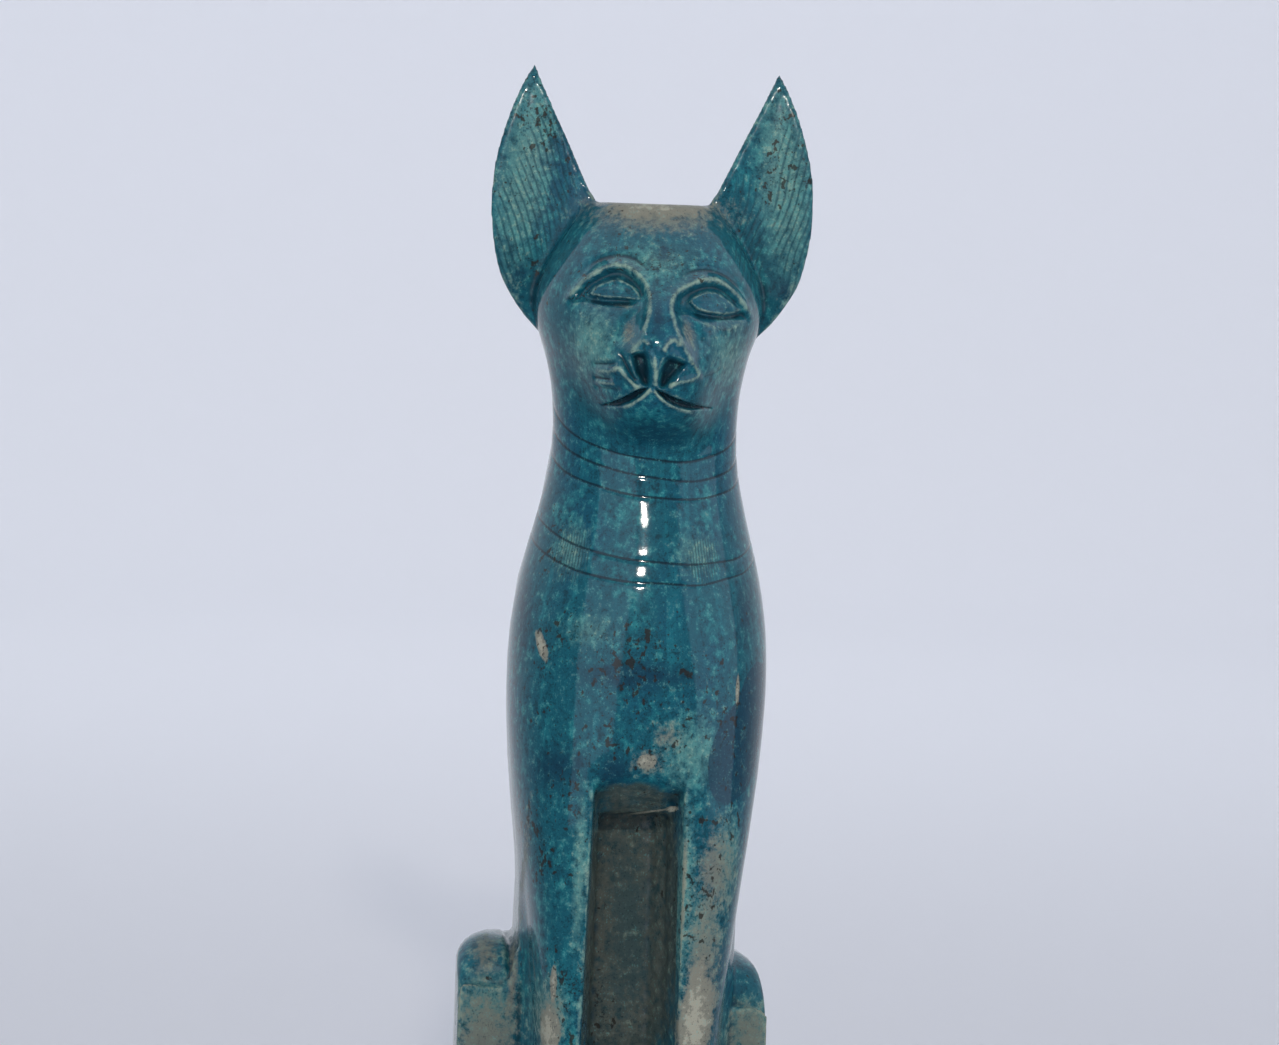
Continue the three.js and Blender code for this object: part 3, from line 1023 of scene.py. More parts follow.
@dataclass
class Paw:
    """A paw: a ball drawn out to a rounded block, with grooves between its toes."""

    x: float
    y: float
    half: tuple[float, float, float]
    toes: int = 4
    square: float = 0.8
    toe_spread: float = 0.86
    toe_half: float = 0.55
    toe_cut: tuple[float, float] = (1.1, 0.7)

    def place(self, share: np.ndarray, angle: np.ndarray) -> Points:
        """Places each point of the paw's skin.

        Args:
            share: from 0 below to 1 above.
            angle: directions round the paw.

        Returns:
            Places above the base.
        """
        polar = math.pi * (1.0 - share)
        ball = np.stack([np.sin(polar) * np.cos(angle), np.sin(polar) * np.sin(angle), np.cos(polar)], axis=1)
        x = power(ball[:, 0], self.square) * self.half[0]
        y = power(ball[:, 1], self.square) * self.half[1]
        h = ball[:, 2] * self.half[2]
        fore = smooth(-y / self.half[1], 0.25, 0.8)
        split = np.zeros_like(x)
        for k in range(1, self.toes):
            at = self.half[0] * (2.0 * k / self.toes - 1.0) * self.toe_spread
            split += mound((x - at) / self.toe_half)
        y = y + self.toe_cut[0] * fore * split * (h > -1.0)
        h = h - self.toe_cut[1] * fore * split
        return np.stack([self.x + x, self.y + y, h], axis=1)

    def build(self) -> bpy.types.Object:
        """Makes the paw."""
        return loft("paw", around=128, along=64, place=self.place)


@dataclass
class Tail:
    """The tail: a raised band that lies round the cat's left side on the base."""

    radius: float = 3.6
    rise: float = 2.6
    route: tuple[tuple[float, float], ...] = (
        (-6, 38), (6, 43.5), (22, 40.5), (31, 29), (33.2, 12), (33.2, -8), (31.8, -26), (28.4, -39),
    )

    def place(self, share: np.ndarray, angle: np.ndarray) -> Points:
        """Places each point of the tail's skin.

        Args:
            share: from 0 at the rump to 1 at the tip.
            angle: directions round the tail.

        Returns:
            Places above the base.
        """
        line = np.array(curve(self.route, 12))
        steps = np.concatenate([[0.0], np.cumsum(np.linalg.norm(np.diff(line, axis=0), axis=1))])
        cap = self.radius / steps[-1]
        travel = np.clip(share, 0.0, 1.0) * (steps[-1] + self.radius) - cap
        x, y = (np.interp(travel, steps, line[:, k]) for k in (0, 1))
        before, after = (
            np.stack([np.interp(travel + gap, steps, line[:, k]) for k in (0, 1)]) for gap in (-0.5, 0.5)
        )
        ahead = after - before
        ahead /= np.maximum(np.linalg.norm(ahead, axis=0), 1e-6)
        past = np.maximum(travel - steps[-1], 0.0)
        radius = self.radius * np.sqrt(np.clip(1.0 - (past / self.radius) ** 2, 0.0, 1.0)) * (share > 0.0)
        out, up = radius * np.cos(angle), radius * np.sin(angle)
        x = x + ahead[0] * past + ahead[1] * out
        y = y + ahead[1] * past - ahead[0] * out
        return np.stack([x, y, self.rise + up], axis=1)

    def build(self) -> bpy.types.Object:
        """Makes the tail."""
        return loft("tail", around=48, along=200, place=self.place)


@dataclass
class Plinth:
    """The low base, with rounded upright edges and a small ease all round."""

    width: float = 74.0
    depth: float = 106.0
    height: float = 12.0
    corner: float = 7.0
    ease: float = 1.2

    def build(self) -> bpy.types.Object:
        """Makes the base."""
        bpy.ops.object.select_all(action="DESELECT")
        bpy.ops.mesh.primitive_cube_add(size=1.0)
        base = bpy.context.object
        base.name = base.data.name = "low_base"
        points = read_points(base) * MM * np.array([self.width, self.depth, self.height])
        write_points(base, points + np.array([0.0, 0.0, -self.height / 2.0]))
        bpy.ops.object.mode_set(mode="EDIT")
        bpy.ops.mesh.select_all(action="DESELECT")
        bpy.ops.mesh.select_mode(type="EDGE")
        bpy.ops.object.mode_set(mode="OBJECT")
        for edge in base.data.edges:
            a, b = (base.data.vertices[i].co for i in edge.vertices)
            edge.select = abs(a.z - b.z) > self.height * MM / 2
        bpy.ops.object.mode_set(mode="EDIT")
        bpy.ops.mesh.bevel(offset=self.corner * MM, segments=8)
        bpy.ops.object.mode_set(mode="OBJECT")
        apply_modifier(base, "BEVEL", width=self.ease * MM, segments=3, limit_method="ANGLE")
        return base


@dataclass
class Hollow:
    """The hollow between the forelegs, splayed and closed behind, with a slope down its left side.

    Each row holds a place from front to back, the left and right edges, the splay, top and bottom.
    """

    rows: tuple[tuple[float, float, float, float, float, float], ...] = (
        (-44, -12.4, 10.0, 4.0, 113, 4),
        (-31, -10.1, 7.7, 2.3, 101, 7),
        (-21, -8.2, 6.2, 1.3, 91.8, 8.6),
        (-18, -7.8, 5.7, 1.0, 91, 9),
        (-14, -7.3, 3.4, 0.6, 90.6, 9.6),
    )
    middle: float = -1.2
    hewn_half: float = 9.5
    hewn_from: tuple[float, float] = (-27.0, -24.0)
    hewn_back: float = -8.0
    hewn_top: float = 102.0

    def hewn(self, points: Points) -> np.ndarray:
        """Gives where the walls and the panel keep the marks of the tool.

        Args:
            points: places above the base.

        Returns:
            A share from 0 to 1 for each place.
        """
        x, y, h = points.T
        inside = (np.abs(x - self.middle) < self.hewn_half) & (h < self.hewn_top) & (y < self.hewn_back)
        return smooth(y, *self.hewn_from) * inside

    def build(self) -> bpy.types.Object:
        """Makes the cutter."""
        bpy.ops.object.select_all(action="DESELECT")
        bpy.ops.mesh.primitive_cube_add(size=2.0)
        cutter = bpy.context.object
        cutter.name = cutter.data.name = "hollow"
        bpy.ops.object.mode_set(mode="EDIT")
        bpy.ops.mesh.select_all(action="SELECT")
        bpy.ops.mesh.subdivide(number_cuts=11)
        bpy.ops.object.mode_set(mode="OBJECT")
        u, deep, v = (read_points(cutter) * MM).T
        share = (deep + 1.0) / 2.0
        marks = np.linspace(0.0, 1.0, len(self.rows))
        columns = np.array(self.rows, float).T
        y, left, right, splay, top, bottom = (np.interp(share, marks, column) for column in columns)
        up = (v + 1.0) / 2.0
        x = mix(left, right, (u + 1.0) / 2.0) + u * splay * (1.0 - up)
        write_points(cutter, np.stack([x, y, mix(bottom, top, up)], axis=1))
        return cutter


@dataclass
class Statuette:
    """The whole cat with its base, fused, carved and glazed."""

    voxel: float = 0.55
    rough_voxel: float = 1.0
    most_faces: int = 196_000
    rubs: int = 9
    ear_rubs: int = 60
    give_back: float = 1.06
    ear_foot: tuple[float, float] = (185.0, 189.0)
    ear_side: tuple[float, float] = (10.0, 14.0)
    scoop: tuple[float, float, float] = (-1.2, -29.0, 99.5)
    scoop_half: tuple[float, float, float] = (10.5, 9.0, 7.0)
    scoop_rubs: int = 110
    scraped: tuple[Swell, ...] = (Swell(0.06, 32.0, 3), Swell(0.01, 8.0, 4))
    hewn: tuple[Swell, ...] = (Swell(0.16, 7.0, 5), Swell(0.09, 2.6, 6))
    plinth: Plinth = field(default_factory=Plinth)
    body: Body = field(default_factory=Body)
    tail: Tail = field(default_factory=Tail)
    hollow: Hollow = field(default_factory=Hollow)
    haunches: tuple[Haunch, ...] = (
        Haunch(
            side=-1, outer=33.4, top=62.0, round_x=6.0, round_h=5.0, rim=(1.0, 7.6), crease=2.2,
            ledge_below_top=8.3,
        ),
        Haunch(side=1, outer=28.8, top=59.8, round_x=8.0, round_h=8.5, ledge_below_top=9.6),
    )
    paws: tuple[Paw, ...] = (
        Paw(x=-10.4, y=-33.5, half=(8.7, 12.5, 9.6)),
        Paw(x=10.4, y=-33.5, half=(8.7, 12.5, 9.6)),
        Paw(x=-24.4, y=-18.0, half=(5.7, 21.0, 8.0), toes=3),
        Paw(x=24.4, y=-18.0, half=(5.7, 21.0, 8.0), toes=3),
    )

    def block_out(self) -> bpy.types.Object:
        """Joins the lofted forms and cuts the hollow.

        Returns:
            One object whose shells overlap.
        """
        trunk = self.body.build()
        cutter = self.hollow.build()
        apply_modifier(trunk, "BOOLEAN", operation="DIFFERENCE", solver="MANIFOLD", object=cutter)
        bpy.data.objects.remove(cutter, do_unlink=True)
        ears = (Ear(side=side, head_turn=self.body.head_turn) for side in (-1, 1))
        others = [form.build() for form in (*ears, *self.haunches, *self.paws, self.tail, self.plinth)]
        select_only(trunk)
        for piece in others:
            piece.select_set(True)
        bpy.ops.object.join()
        lifted = read_points(trunk) + np.array([0.0, 0.0, self.plinth.height])
        write_points(trunk, lifted)
        return trunk

    def fuse(self, piece: bpy.types.Object) -> None:
        """Turns the overlapping shells into one skin, and rubs it smooth, most above the hollow.

        Args:
            piece: the joined forms.
        """
        voxel = self.voxel
        apply_modifier(piece, "REMESH", mode="VOXEL", voxel_size=voxel * MM, use_smooth_shade=True)
        fineness = (self.voxel / voxel) ** 2
        rubbed = spread(piece, read_points(piece), max(2, round(self.rubs * fineness)), back=self.give_back)
        placed = self.above_base(piece)
        ears = smooth(placed[:, 2], *self.ear_foot) * smooth(np.abs(placed[:, 0]), *self.ear_side)
        times = max(2, round(self.ear_rubs * fineness))
        rubbed = spread(piece, rubbed, times, share=ears, back=self.give_back)
        away = (placed - np.array(self.scoop)) / np.array(self.scoop_half)
        near = 1.0 - smooth(np.linalg.norm(away, axis=1), 0.5, 1.0)
        write_points(piece, spread(piece, rubbed, max(2, round(self.scoop_rubs * fineness)), share=near))

    def refine(self, piece: bpy.types.Object) -> None:
        """Gives the face, the rings and the ears a finer mesh to be carved in.

        Args:
            piece: the fused figure.
        """
        points = self.above_base(piece)
        x, y, h = points.T
        rings = self.body.rings
        row = rings.row(points, self.body.breast.at(h))
        ring_half, ring_reach = 1.2, 26.0
        face_foot, face_top, face_back = 166.0, 203.0, -10.0
        ear_foot, ear_side, ear_front = 196.0, 13.0, -0.3
        ringed = np.zeros(len(points), bool)
        for ring in rings.rings:
            ringed |= np.abs(row - ring.height) < ring_half
        ringed &= (h > rings.lowest) & (h < rings.highest) & (np.abs(x) < ring_reach)
        face = (h > face_foot) & (h < face_top) & (y < face_back)
        ears = (h > ear_foot) & (np.abs(x) > ear_side) & (read_normals(piece)[:, 1] < ear_front)
        refine(piece, ringed | face | ears)

    def above_base(self, piece: bpy.types.Object) -> Points:
        """Reads the points as the cat's profiles count them, with heights from the base's top."""
        return read_points(piece) - np.array([0.0, 0.0, self.plinth.height])

    def carve(self, piece: bpy.types.Object) -> None:
        """Cuts the fine carving into the skin.

        Args:
            piece: the refined figure.
        """
        points = self.above_base(piece)
        normals = read_normals(piece)
        h = points[:, 2]
        rings = self.body.rings
        necked = (h > rings.lowest) & (h < rings.highest)
        row = rings.row(points, self.body.breast.at(h))
        out = np.where(necked, rings.cut(row), 0.0)
        out += sum(swell.at(points) for swell in self.scraped)
        out += self.hollow.hewn(points) * sum(swell.at(points) for swell in self.hewn)
        points = points + normals * out[:, None]

        head = self.body.to_head(points)
        face_foot, face_top, face_back = 164.0, 204.0, -8.0
        facing = smooth(-normals[:, 1], 0.05, 0.35)
        near = (h > face_foot) & (h < face_top) & (facing > 0.0) & (head[:, 1] < face_back)
        cut, shed = np.zeros(len(points)), np.zeros(len(points))
        cut[near], shed[near] = self.body.face.carve(head[near, 0], head[near, 2])
        mark(piece, "shed", shed * facing)
        turn = self.body.turn(h)
        points[:, 0] -= cut * facing * np.sin(turn)
        points[:, 1] -= cut * facing * np.cos(turn)

        points[:, 2] = np.maximum(points[:, 2] + self.plinth.height, 0.0)
        write_points(piece, points)
        self.weigh(piece, np.where(necked, smooth(rings.gap(row), 0.8, 1.5), 1.0))

    def weigh(self, piece: bpy.types.Object, off_rings: np.ndarray) -> None:
        """Marks how far each place stands out, finely and broadly, and where faces may be taken out.

        Args:
            piece: the carved figure.
            off_rings: 0 on a neck ring, whose edges are too low to shed the glaze, and 1 away from it.
        """
        points = read_points(piece)
        normals = read_normals(piece)
        size = 1.0
        for name, times in (("ridge", 5), ("form", 70)):
            soft = spread(piece, points, max(2, round(times * size)))
            stands = ((points - soft) * normals).sum(axis=1)
            mark(piece, name, stands * off_rings)
        # Fewer faces are taken out in front, above the base, and where the form turns sharply
        front, high = smooth(-normals[:, 1], -0.1, 0.3), smooth(points[:, 2], 12.0, 40.0)
        plain = 1.0 - 0.75 * front * high
        plain = np.minimum(plain, 1.0 - 0.6 * smooth(np.abs(stands), 0.2, 0.7))
        group = piece.vertex_groups.new(name="plain")
        for step in np.unique(np.round(plain, 1)):
            group.add(np.nonzero(np.round(plain, 1) == step)[0].tolist(), float(step), "REPLACE")

    def thin(self, piece: bpy.types.Object) -> None:
        """Takes out faces where the skin is plain.

        Args:
            piece: the carved figure.
        """
        faces = sum(len(p.vertices) - 2 for p in piece.data.polygons)
        if faces > self.most_faces:
            apply_modifier(
                piece,
                "DECIMATE",
                ratio=self.most_faces / faces,
                use_collapse_triangulate=True,
                vertex_group="plain",
                vertex_group_factor=1.0,
            )

    def build(self) -> bpy.types.Object:
        """Makes the finished figure.

        Returns:
            The one carved piece.
        """
        piece = self.block_out()
        LOG.info("blocked out: %d points", len(piece.data.vertices))
        self.fuse(piece)
        LOG.info("fused: %d points", len(piece.data.vertices))
        self.refine(piece)
        LOG.info("refined: %d points", len(piece.data.vertices))
        self.carve(piece)
        LOG.info("carved")
        self.thin(piece)
        LOG.info("thinned: %d points, %d faces", len(piece.data.vertices), len(piece.data.polygons))
        piece.name = piece.data.name = "carved_cat"
        bpy.ops.object.shade_smooth()
        return piece


# The view


@dataclass
class Camera:
    """The photograph's view: a little to the cat's right, a little above, and rolled."""

    target: tuple[float, float, float] = (0.5, 0.0, 158.8)
    azimuth: float = -6.0
    elevation: float = 5.0
    distance: float = 750.0
    roll: float = 2.2
    pan: float = -0.49
    frame_width: float = 255.8
    sensor: float = 36.0

    def axes(self) -> tuple[Vector, Vector, Vector]:
        """Gives the ways towards the camera, level across, and up in its sheet."""
        az, el = math.radians(self.azimuth), math.radians(self.elevation)
        back = Vector((math.sin(az) * math.cos(el), -math.cos(az) * math.cos(el), math.sin(el)))
        level = Vector((math.cos(az), math.sin(az), 0.0))
        return back, level, back.cross(level)

    def lay_flat(self, points: Points) -> tuple[np.ndarray, np.ndarray]:
        """Projects places onto an upright sheet through the target, as this view sees them.

        Args:
            points: places in millimetres.

        Returns:
            Millimetres across and up.
        """
        back, level, rise = (np.array(way) for way in self.axes())
        away = points - np.array(self.target)
        scale = self.distance / (self.distance - away @ back)
        return (away @ level) * scale, self.target[2] + (away @ rise) * scale

    def build(self) -> bpy.types.Object:
        """Makes the camera.

        Returns:
            The camera, which is also the scene's.
        """
        back, level, rise = self.axes()
        roll = math.radians(self.roll)
        right = level * math.cos(roll) + rise * math.sin(roll)
        up = rise * math.cos(roll) - level * math.sin(roll)
        at = (Vector(self.target) + level * self.pan + back * self.distance) * MM
        data = bpy.data.cameras.new("camera")
        data.sensor_fit = "HORIZONTAL"
        data.sensor_width = self.sensor
        data.lens = self.sensor * self.distance / self.frame_width
        data.clip_start = 0.01
        data.clip_end = 20.0
        camera = bpy.data.objects.new("camera", data)
        bpy.context.scene.collection.objects.link(camera)
        camera.matrix_world = Matrix.Translation(at) @ Matrix((right, up, back)).transposed().to_4x4()
        bpy.context.scene.camera = camera
        return camera


# The glaze


class Wear(Enum):
    """What firing and age did to the glaze at a place, with some painted shade and reflections. Each value is
    the name of a mark on the mesh.
    """

    THIN = "thin"
    BARE_AND_PAINTED_SHEEN = "bare_and_painted_sheen"
    POOLED_AND_PAINTED_SHADE = "pooled_and_painted_shade"
    SPECKLED = "speckled"
    EARTHY_AND_PAINTED_SHADE = "earthy_and_painted_shade"
    WEATHERED_AND_PAINTED_LIGHT = "weathered_and_painted_light"
    COMBED = "combed"
    DULLED = "dulled"


@dataclass(frozen=True)
class Patch:
    """An oval on the front, as the camera sees it: its middle, half sizes and lean in degrees."""

    x: float
    z: float
    half_x: float
    half_z: float
    lean: float = 0.0
    faint: float = 0.0

    def away(self, across: np.ndarray, up: np.ndarray) -> np.ndarray:
        """Gives the distance from the middle, which is 1 at the edge of the oval.

        Args:
            across: places across the sheet.
            up: places up the sheet.

        Returns:
            The distance, and more on a faint patch.
        """
        c, s = math.cos(math.radians(self.lean)), math.sin(math.radians(self.lean))
        u, v = across - self.x, up - self.z
        return self.faint + np.hypot((u * c - v * s) / self.half_x, (u * s + v * c) / self.half_z)


@dataclass
class Firing:
    """The places where the glaze ran, pooled, thinned or missed, some painted shade and reflections, and the
    lines combed in the fur.
    """

    camera: Camera
    body: Body
    front: dict[Wear, tuple[Patch, ...]] = field(
        default_factory=lambda: {
            Wear.THIN: (
                Patch(11.5, 113, 9.5, 12, 0, 0.3), Patch(19.5, 92, 3.5, 13, 4, 0.1), Patch(15, 78, 4, 9),
                Patch(-14, 153, 5, 8, 12, 0.25), Patch(11, 153, 6, 6, 0, 0.3),
                Patch(-11.5, 195, 6, 9, 0, 0.1), Patch(0.5, 211, 15, 7, 0, 0.45),
                Patch(16, 193, 6, 9, 0, 0.25), Patch(-26, 228, 6, 22, 8), Patch(26, 228, 6, 22, -8),
                Patch(-15, 60, 5, 9, 0, 0.1), Patch(-28, 60, 8, 9), Patch(26, 57, 6, 8),
                Patch(-10, 137, 9, 6, 0, 0.45), Patch(-9.8, 88, 1.6, 18, 0, 0.05), Patch(11.2, 86, 2.2, 22),
            ),
            Wear.BARE_AND_PAINTED_SHEEN: (
                Patch(-14.6, 56.5, 2.1, 5.4, 0, 0.1), Patch(-14.2, 65.5, 0.7, 4.0, 0, 0.1),
                Patch(14.5, 59, 3.6, 13, 3, 0.12), Patch(-19.1, 133.4, 0.95, 3.2, -17, 0.05),
                # The first patch here, the grey strip on the crown, is partly bare stone and partly a painted
                # reflection
                Patch(0.5, 223, 16, 4.4, 0, 0.4), Patch(2.9, 111.1, 2.2, 1.5, 0, 0.15),
                Patch(20.4, 126.2, 0.35, 2.9), Patch(3.8, 101.1, 5.2, 0.2, -10),
                Patch(8.2, 101.8, 1.3, 0.55, -6),
            ),
            Wear.POOLED_AND_PAINTED_SHADE: (
                # Patch(-3.5, 109, ...) over the hollow's top and Patch(2, 176, ...) under the chin are partly
                # painted shade
                Patch(-3.5, 109, 5, 4.5, 0, 0.1), Patch(-15, 109, 9, 8, 0, 0.25),
                Patch(0, 128, 21, 4.5, 0, 0.2), Patch(2, 176, 13, 5, 0, 0.25), Patch(-27, 207, 5, 9, 0, 0.5),
                Patch(27, 206, 5, 9, 0, 0.5), Patch(1.6, 200, 2.3, 9, 0, 0.35), Patch(2.5, 213, 3, 6, 0, 0.4),
                Patch(-23, 140, 4, 20, 0, 0.45), Patch(21, 142, 5, 18, 0, 0.5),
            ),
            Wear.SPECKLED: (
                Patch(-18.5, 97, 6, 9), Patch(-18, 134, 5, 14), Patch(-3, 114.5, 9, 3.5),
                Patch(-16.5, 124.5, 5, 6), Patch(17, 124, 5, 6), Patch(0, 131, 16, 5, 0, 0.2),
                Patch(0, 211, 9, 5), Patch(-24, 232, 6, 16), Patch(26, 236, 6, 14),
                Patch(-11, 62, 5, 14, 0, 0.2), Patch(14, 92, 6, 16, 0, 0.2),
            ),
            # This oval over the hollow's top is partly painted shade; the panel behind it is brown earth
            Wear.EARTHY_AND_PAINTED_SHADE: (Patch(0.5, 103.6, 9, 5, 0, 0.4),),
            Wear.WEATHERED_AND_PAINTED_LIGHT: (
                # Painted shade: the first three patches, beside the nose and under the left eye. Partly a
                # painted reflection: Patch(0.5, 221.6, ...) on the crown
                Patch(-4.1, 196.9, 1.6, 3.4, 4, 0.3), Patch(-5.5, 202, 3, 0.9, 0, 0.45),
                Patch(7.9, 197, 1.6, 4.2, -16, 0.3), Patch(0.5, 221.6, 14, 4.6, 0, -0.15),
                # The first patch here, on the knob of the haunch at -X, is partly a painted reflection
                Patch(-28.2, 71.5, 3.6, 6.5, 0, 0.15), Patch(-22.4, 66, 1.1, 14, 2, 0),
                Patch(-27.5, 56, 7, 9.5, 0, -0.1), Patch(25.5, 57, 5, 7, 0, 0),
                Patch(15.5, 70, 4.5, 27, 2, 0.1), Patch(-15, 59, 3.6, 8.5, 0, 0.2),
                Patch(-21, 88, 0.8, 18, 3, 0.2), Patch(17.5, 90, 4.6, 12, 0, 0.1),
                Patch(3, 111, 4.4, 3, 0, 0.2), Patch(6.5, 116, 6, 5, 0, 0.5),
            ),
            Wear.COMBED: (
                Patch(-22, 227, 6, 17, 8), Patch(-29, 216, 2.8, 12), Patch(28, 222, 4.6, 17, -4),
                Patch(19, 218, 3.4, 11, -6), Patch(-14, 152, 5, 8, 12, 0.3), Patch(12.5, 152, 5, 7, 0, 0.35),
            ),
            Wear.DULLED: (
                Patch(-25.5, 224, 9.5, 20, 10), Patch(25.5, 224, 9.5, 20, -10), Patch(-28, 67, 7.5, 8),
                Patch(26, 64, 6, 8),
            ),
        }
    )
    panel: Patch = Patch(0.5, 78, 11, 34)
    panel_front: tuple[float, float] = (-29.0, -26.0)
    run: Field = Field(
        (
            (24, 132), (22, 129), (20.6, 124.6), (17.3, 119.3), (15.3, 113.5), (15.2, 107.8), (16.7, 103.9),
            (18.4, 102.9), (20.1, 103.5), (22.6, 105.9), (24.1, 109.4), (24.9, 113.9), (26.4, 120),
            (28, 126), (27, 131),
        ),
        0.0,
        (-0.6, 0.6),
        1.0,
    )
    ear_foot: tuple[float, float] = (12.0, 184.0)
    ear_slopes: tuple[float, float] = (0.38, 0.28)
    ear_pitch: float = 1.25
    ear_sway: Swell = Swell(0.45, 13.0, 61)
    fur_pitch: float = 0.62
    girth: float = 22.0
    farthest: float = 3.0

    def mark(self, piece: bpy.types.Object, base_height: float) -> None:
        """Stores every mark that the glaze reads.

        Args:
            piece: the carved figure.
            base_height: how high the base is.
        """
        world = read_points(piece)
        points = world - np.array([0.0, 0.0, base_height])
        x, y, h = points.T
        across, up = self.camera.lay_flat(world)
        # The patches were drawn on the front alone, so nothing that faces backwards gets them
        behind = 4.0 * smooth(read_normals(piece)[:, 1], -0.05, 0.25)
        for wear, patches in self.front.items():
            away = np.min([patch.away(across, up) for patch in patches], axis=0, initial=self.farthest)
            if wear is Wear.EARTHY_AND_PAINTED_SHADE:
                outside = 2.0 * (1.0 - smooth(y, *self.panel_front)) + self.farthest * (y > 0.0)
                away = np.minimum(away, self.panel.away(across, up) + outside)
            mark(piece, wear.value, np.minimum(away + behind, self.farthest))
        mark(piece, "run", self.run.lay(across, up)[1] * (behind < 1.0))
        rings = self.body.rings
        row = rings.row(points, self.body.breast.at(h))
        mark(piece, "row", np.where((h > rings.lowest) & (h < rings.highest), row, 0.0))
        angle = np.arctan2(x, self.body.widest.at(h) - y)
        around = np.stack([np.sin(angle) * self.girth, -np.cos(angle) * self.girth, h], axis=1)
        mark(piece, "around", around * MM)
        slope = np.where(x < 0.0, *self.ear_slopes)
        on_ear = (np.abs(x) - slope * up) / np.hypot(1.0, slope) / self.ear_pitch
        on_ear += self.ear_sway.at(points)
        is_ear = (np.abs(x) > self.ear_foot[0]) & (h > self.ear_foot[1])
        mark(piece, "stroke", np.where(is_ear, on_ear, angle * self.girth / self.fur_pitch))


# Finishes


def linear(code: str) -> tuple[float, float, float, float]:
    """Turns an sRGB hex colour into a linear one.

    Args:
        code: six hex digits.

    Returns:
        Red, green, blue and an alpha of 1.
    """
    parts = (int(code[i : i + 2], 16) / 255.0 for i in (0, 2, 4))
    return (*(p / 12.92 if p <= 0.04045 else ((p + 0.055) / 1.055) ** 2.4 for p in parts), 1.0)


def add_node(
    tree: bpy.types.NodeTree, kind: str, links: dict | None = None, **settings: object
) -> bpy.types.Node:
    """Adds a node with its settings and links.

    Args:
        tree: the material's nodes.
        kind: the node's type.
        links: what goes into each input, by its name or number: a socket, or a plain value.
        **settings: the node's own settings by name.

    Returns:
        The new node.
    """
    node = tree.nodes.new(kind)
    for key, value in settings.items():
        setattr(node, key, value)
    for key, value in (links or {}).items():
        socket = node.inputs[key]
        if isinstance(value, bpy.types.NodeSocket):
            tree.links.new(value, socket)
        else:
            socket.default_value = value
    return node


@dataclass(frozen=True)
class Grain:
    """A natural unevenness: its pitch along each axis in millimetres, and if it runs round the body."""

    pitch: tuple[float, float, float]
    detail: float = 3.0
    roughness: float = 0.55
    wraps: bool = False
    shift: float = 0.0


@dataclass(frozen=True)
class Layer:
    """A colour over the ones before it, growing as a sum of patterns goes from start to end.

    Where it dries the surface, less glass is left over it, and that glass is rougher.
    """

    colour: str
    reads: tuple[tuple[str, float], ...]
    start: float
    end: float
    strength: float = 1.0
    dries: float = 0.0


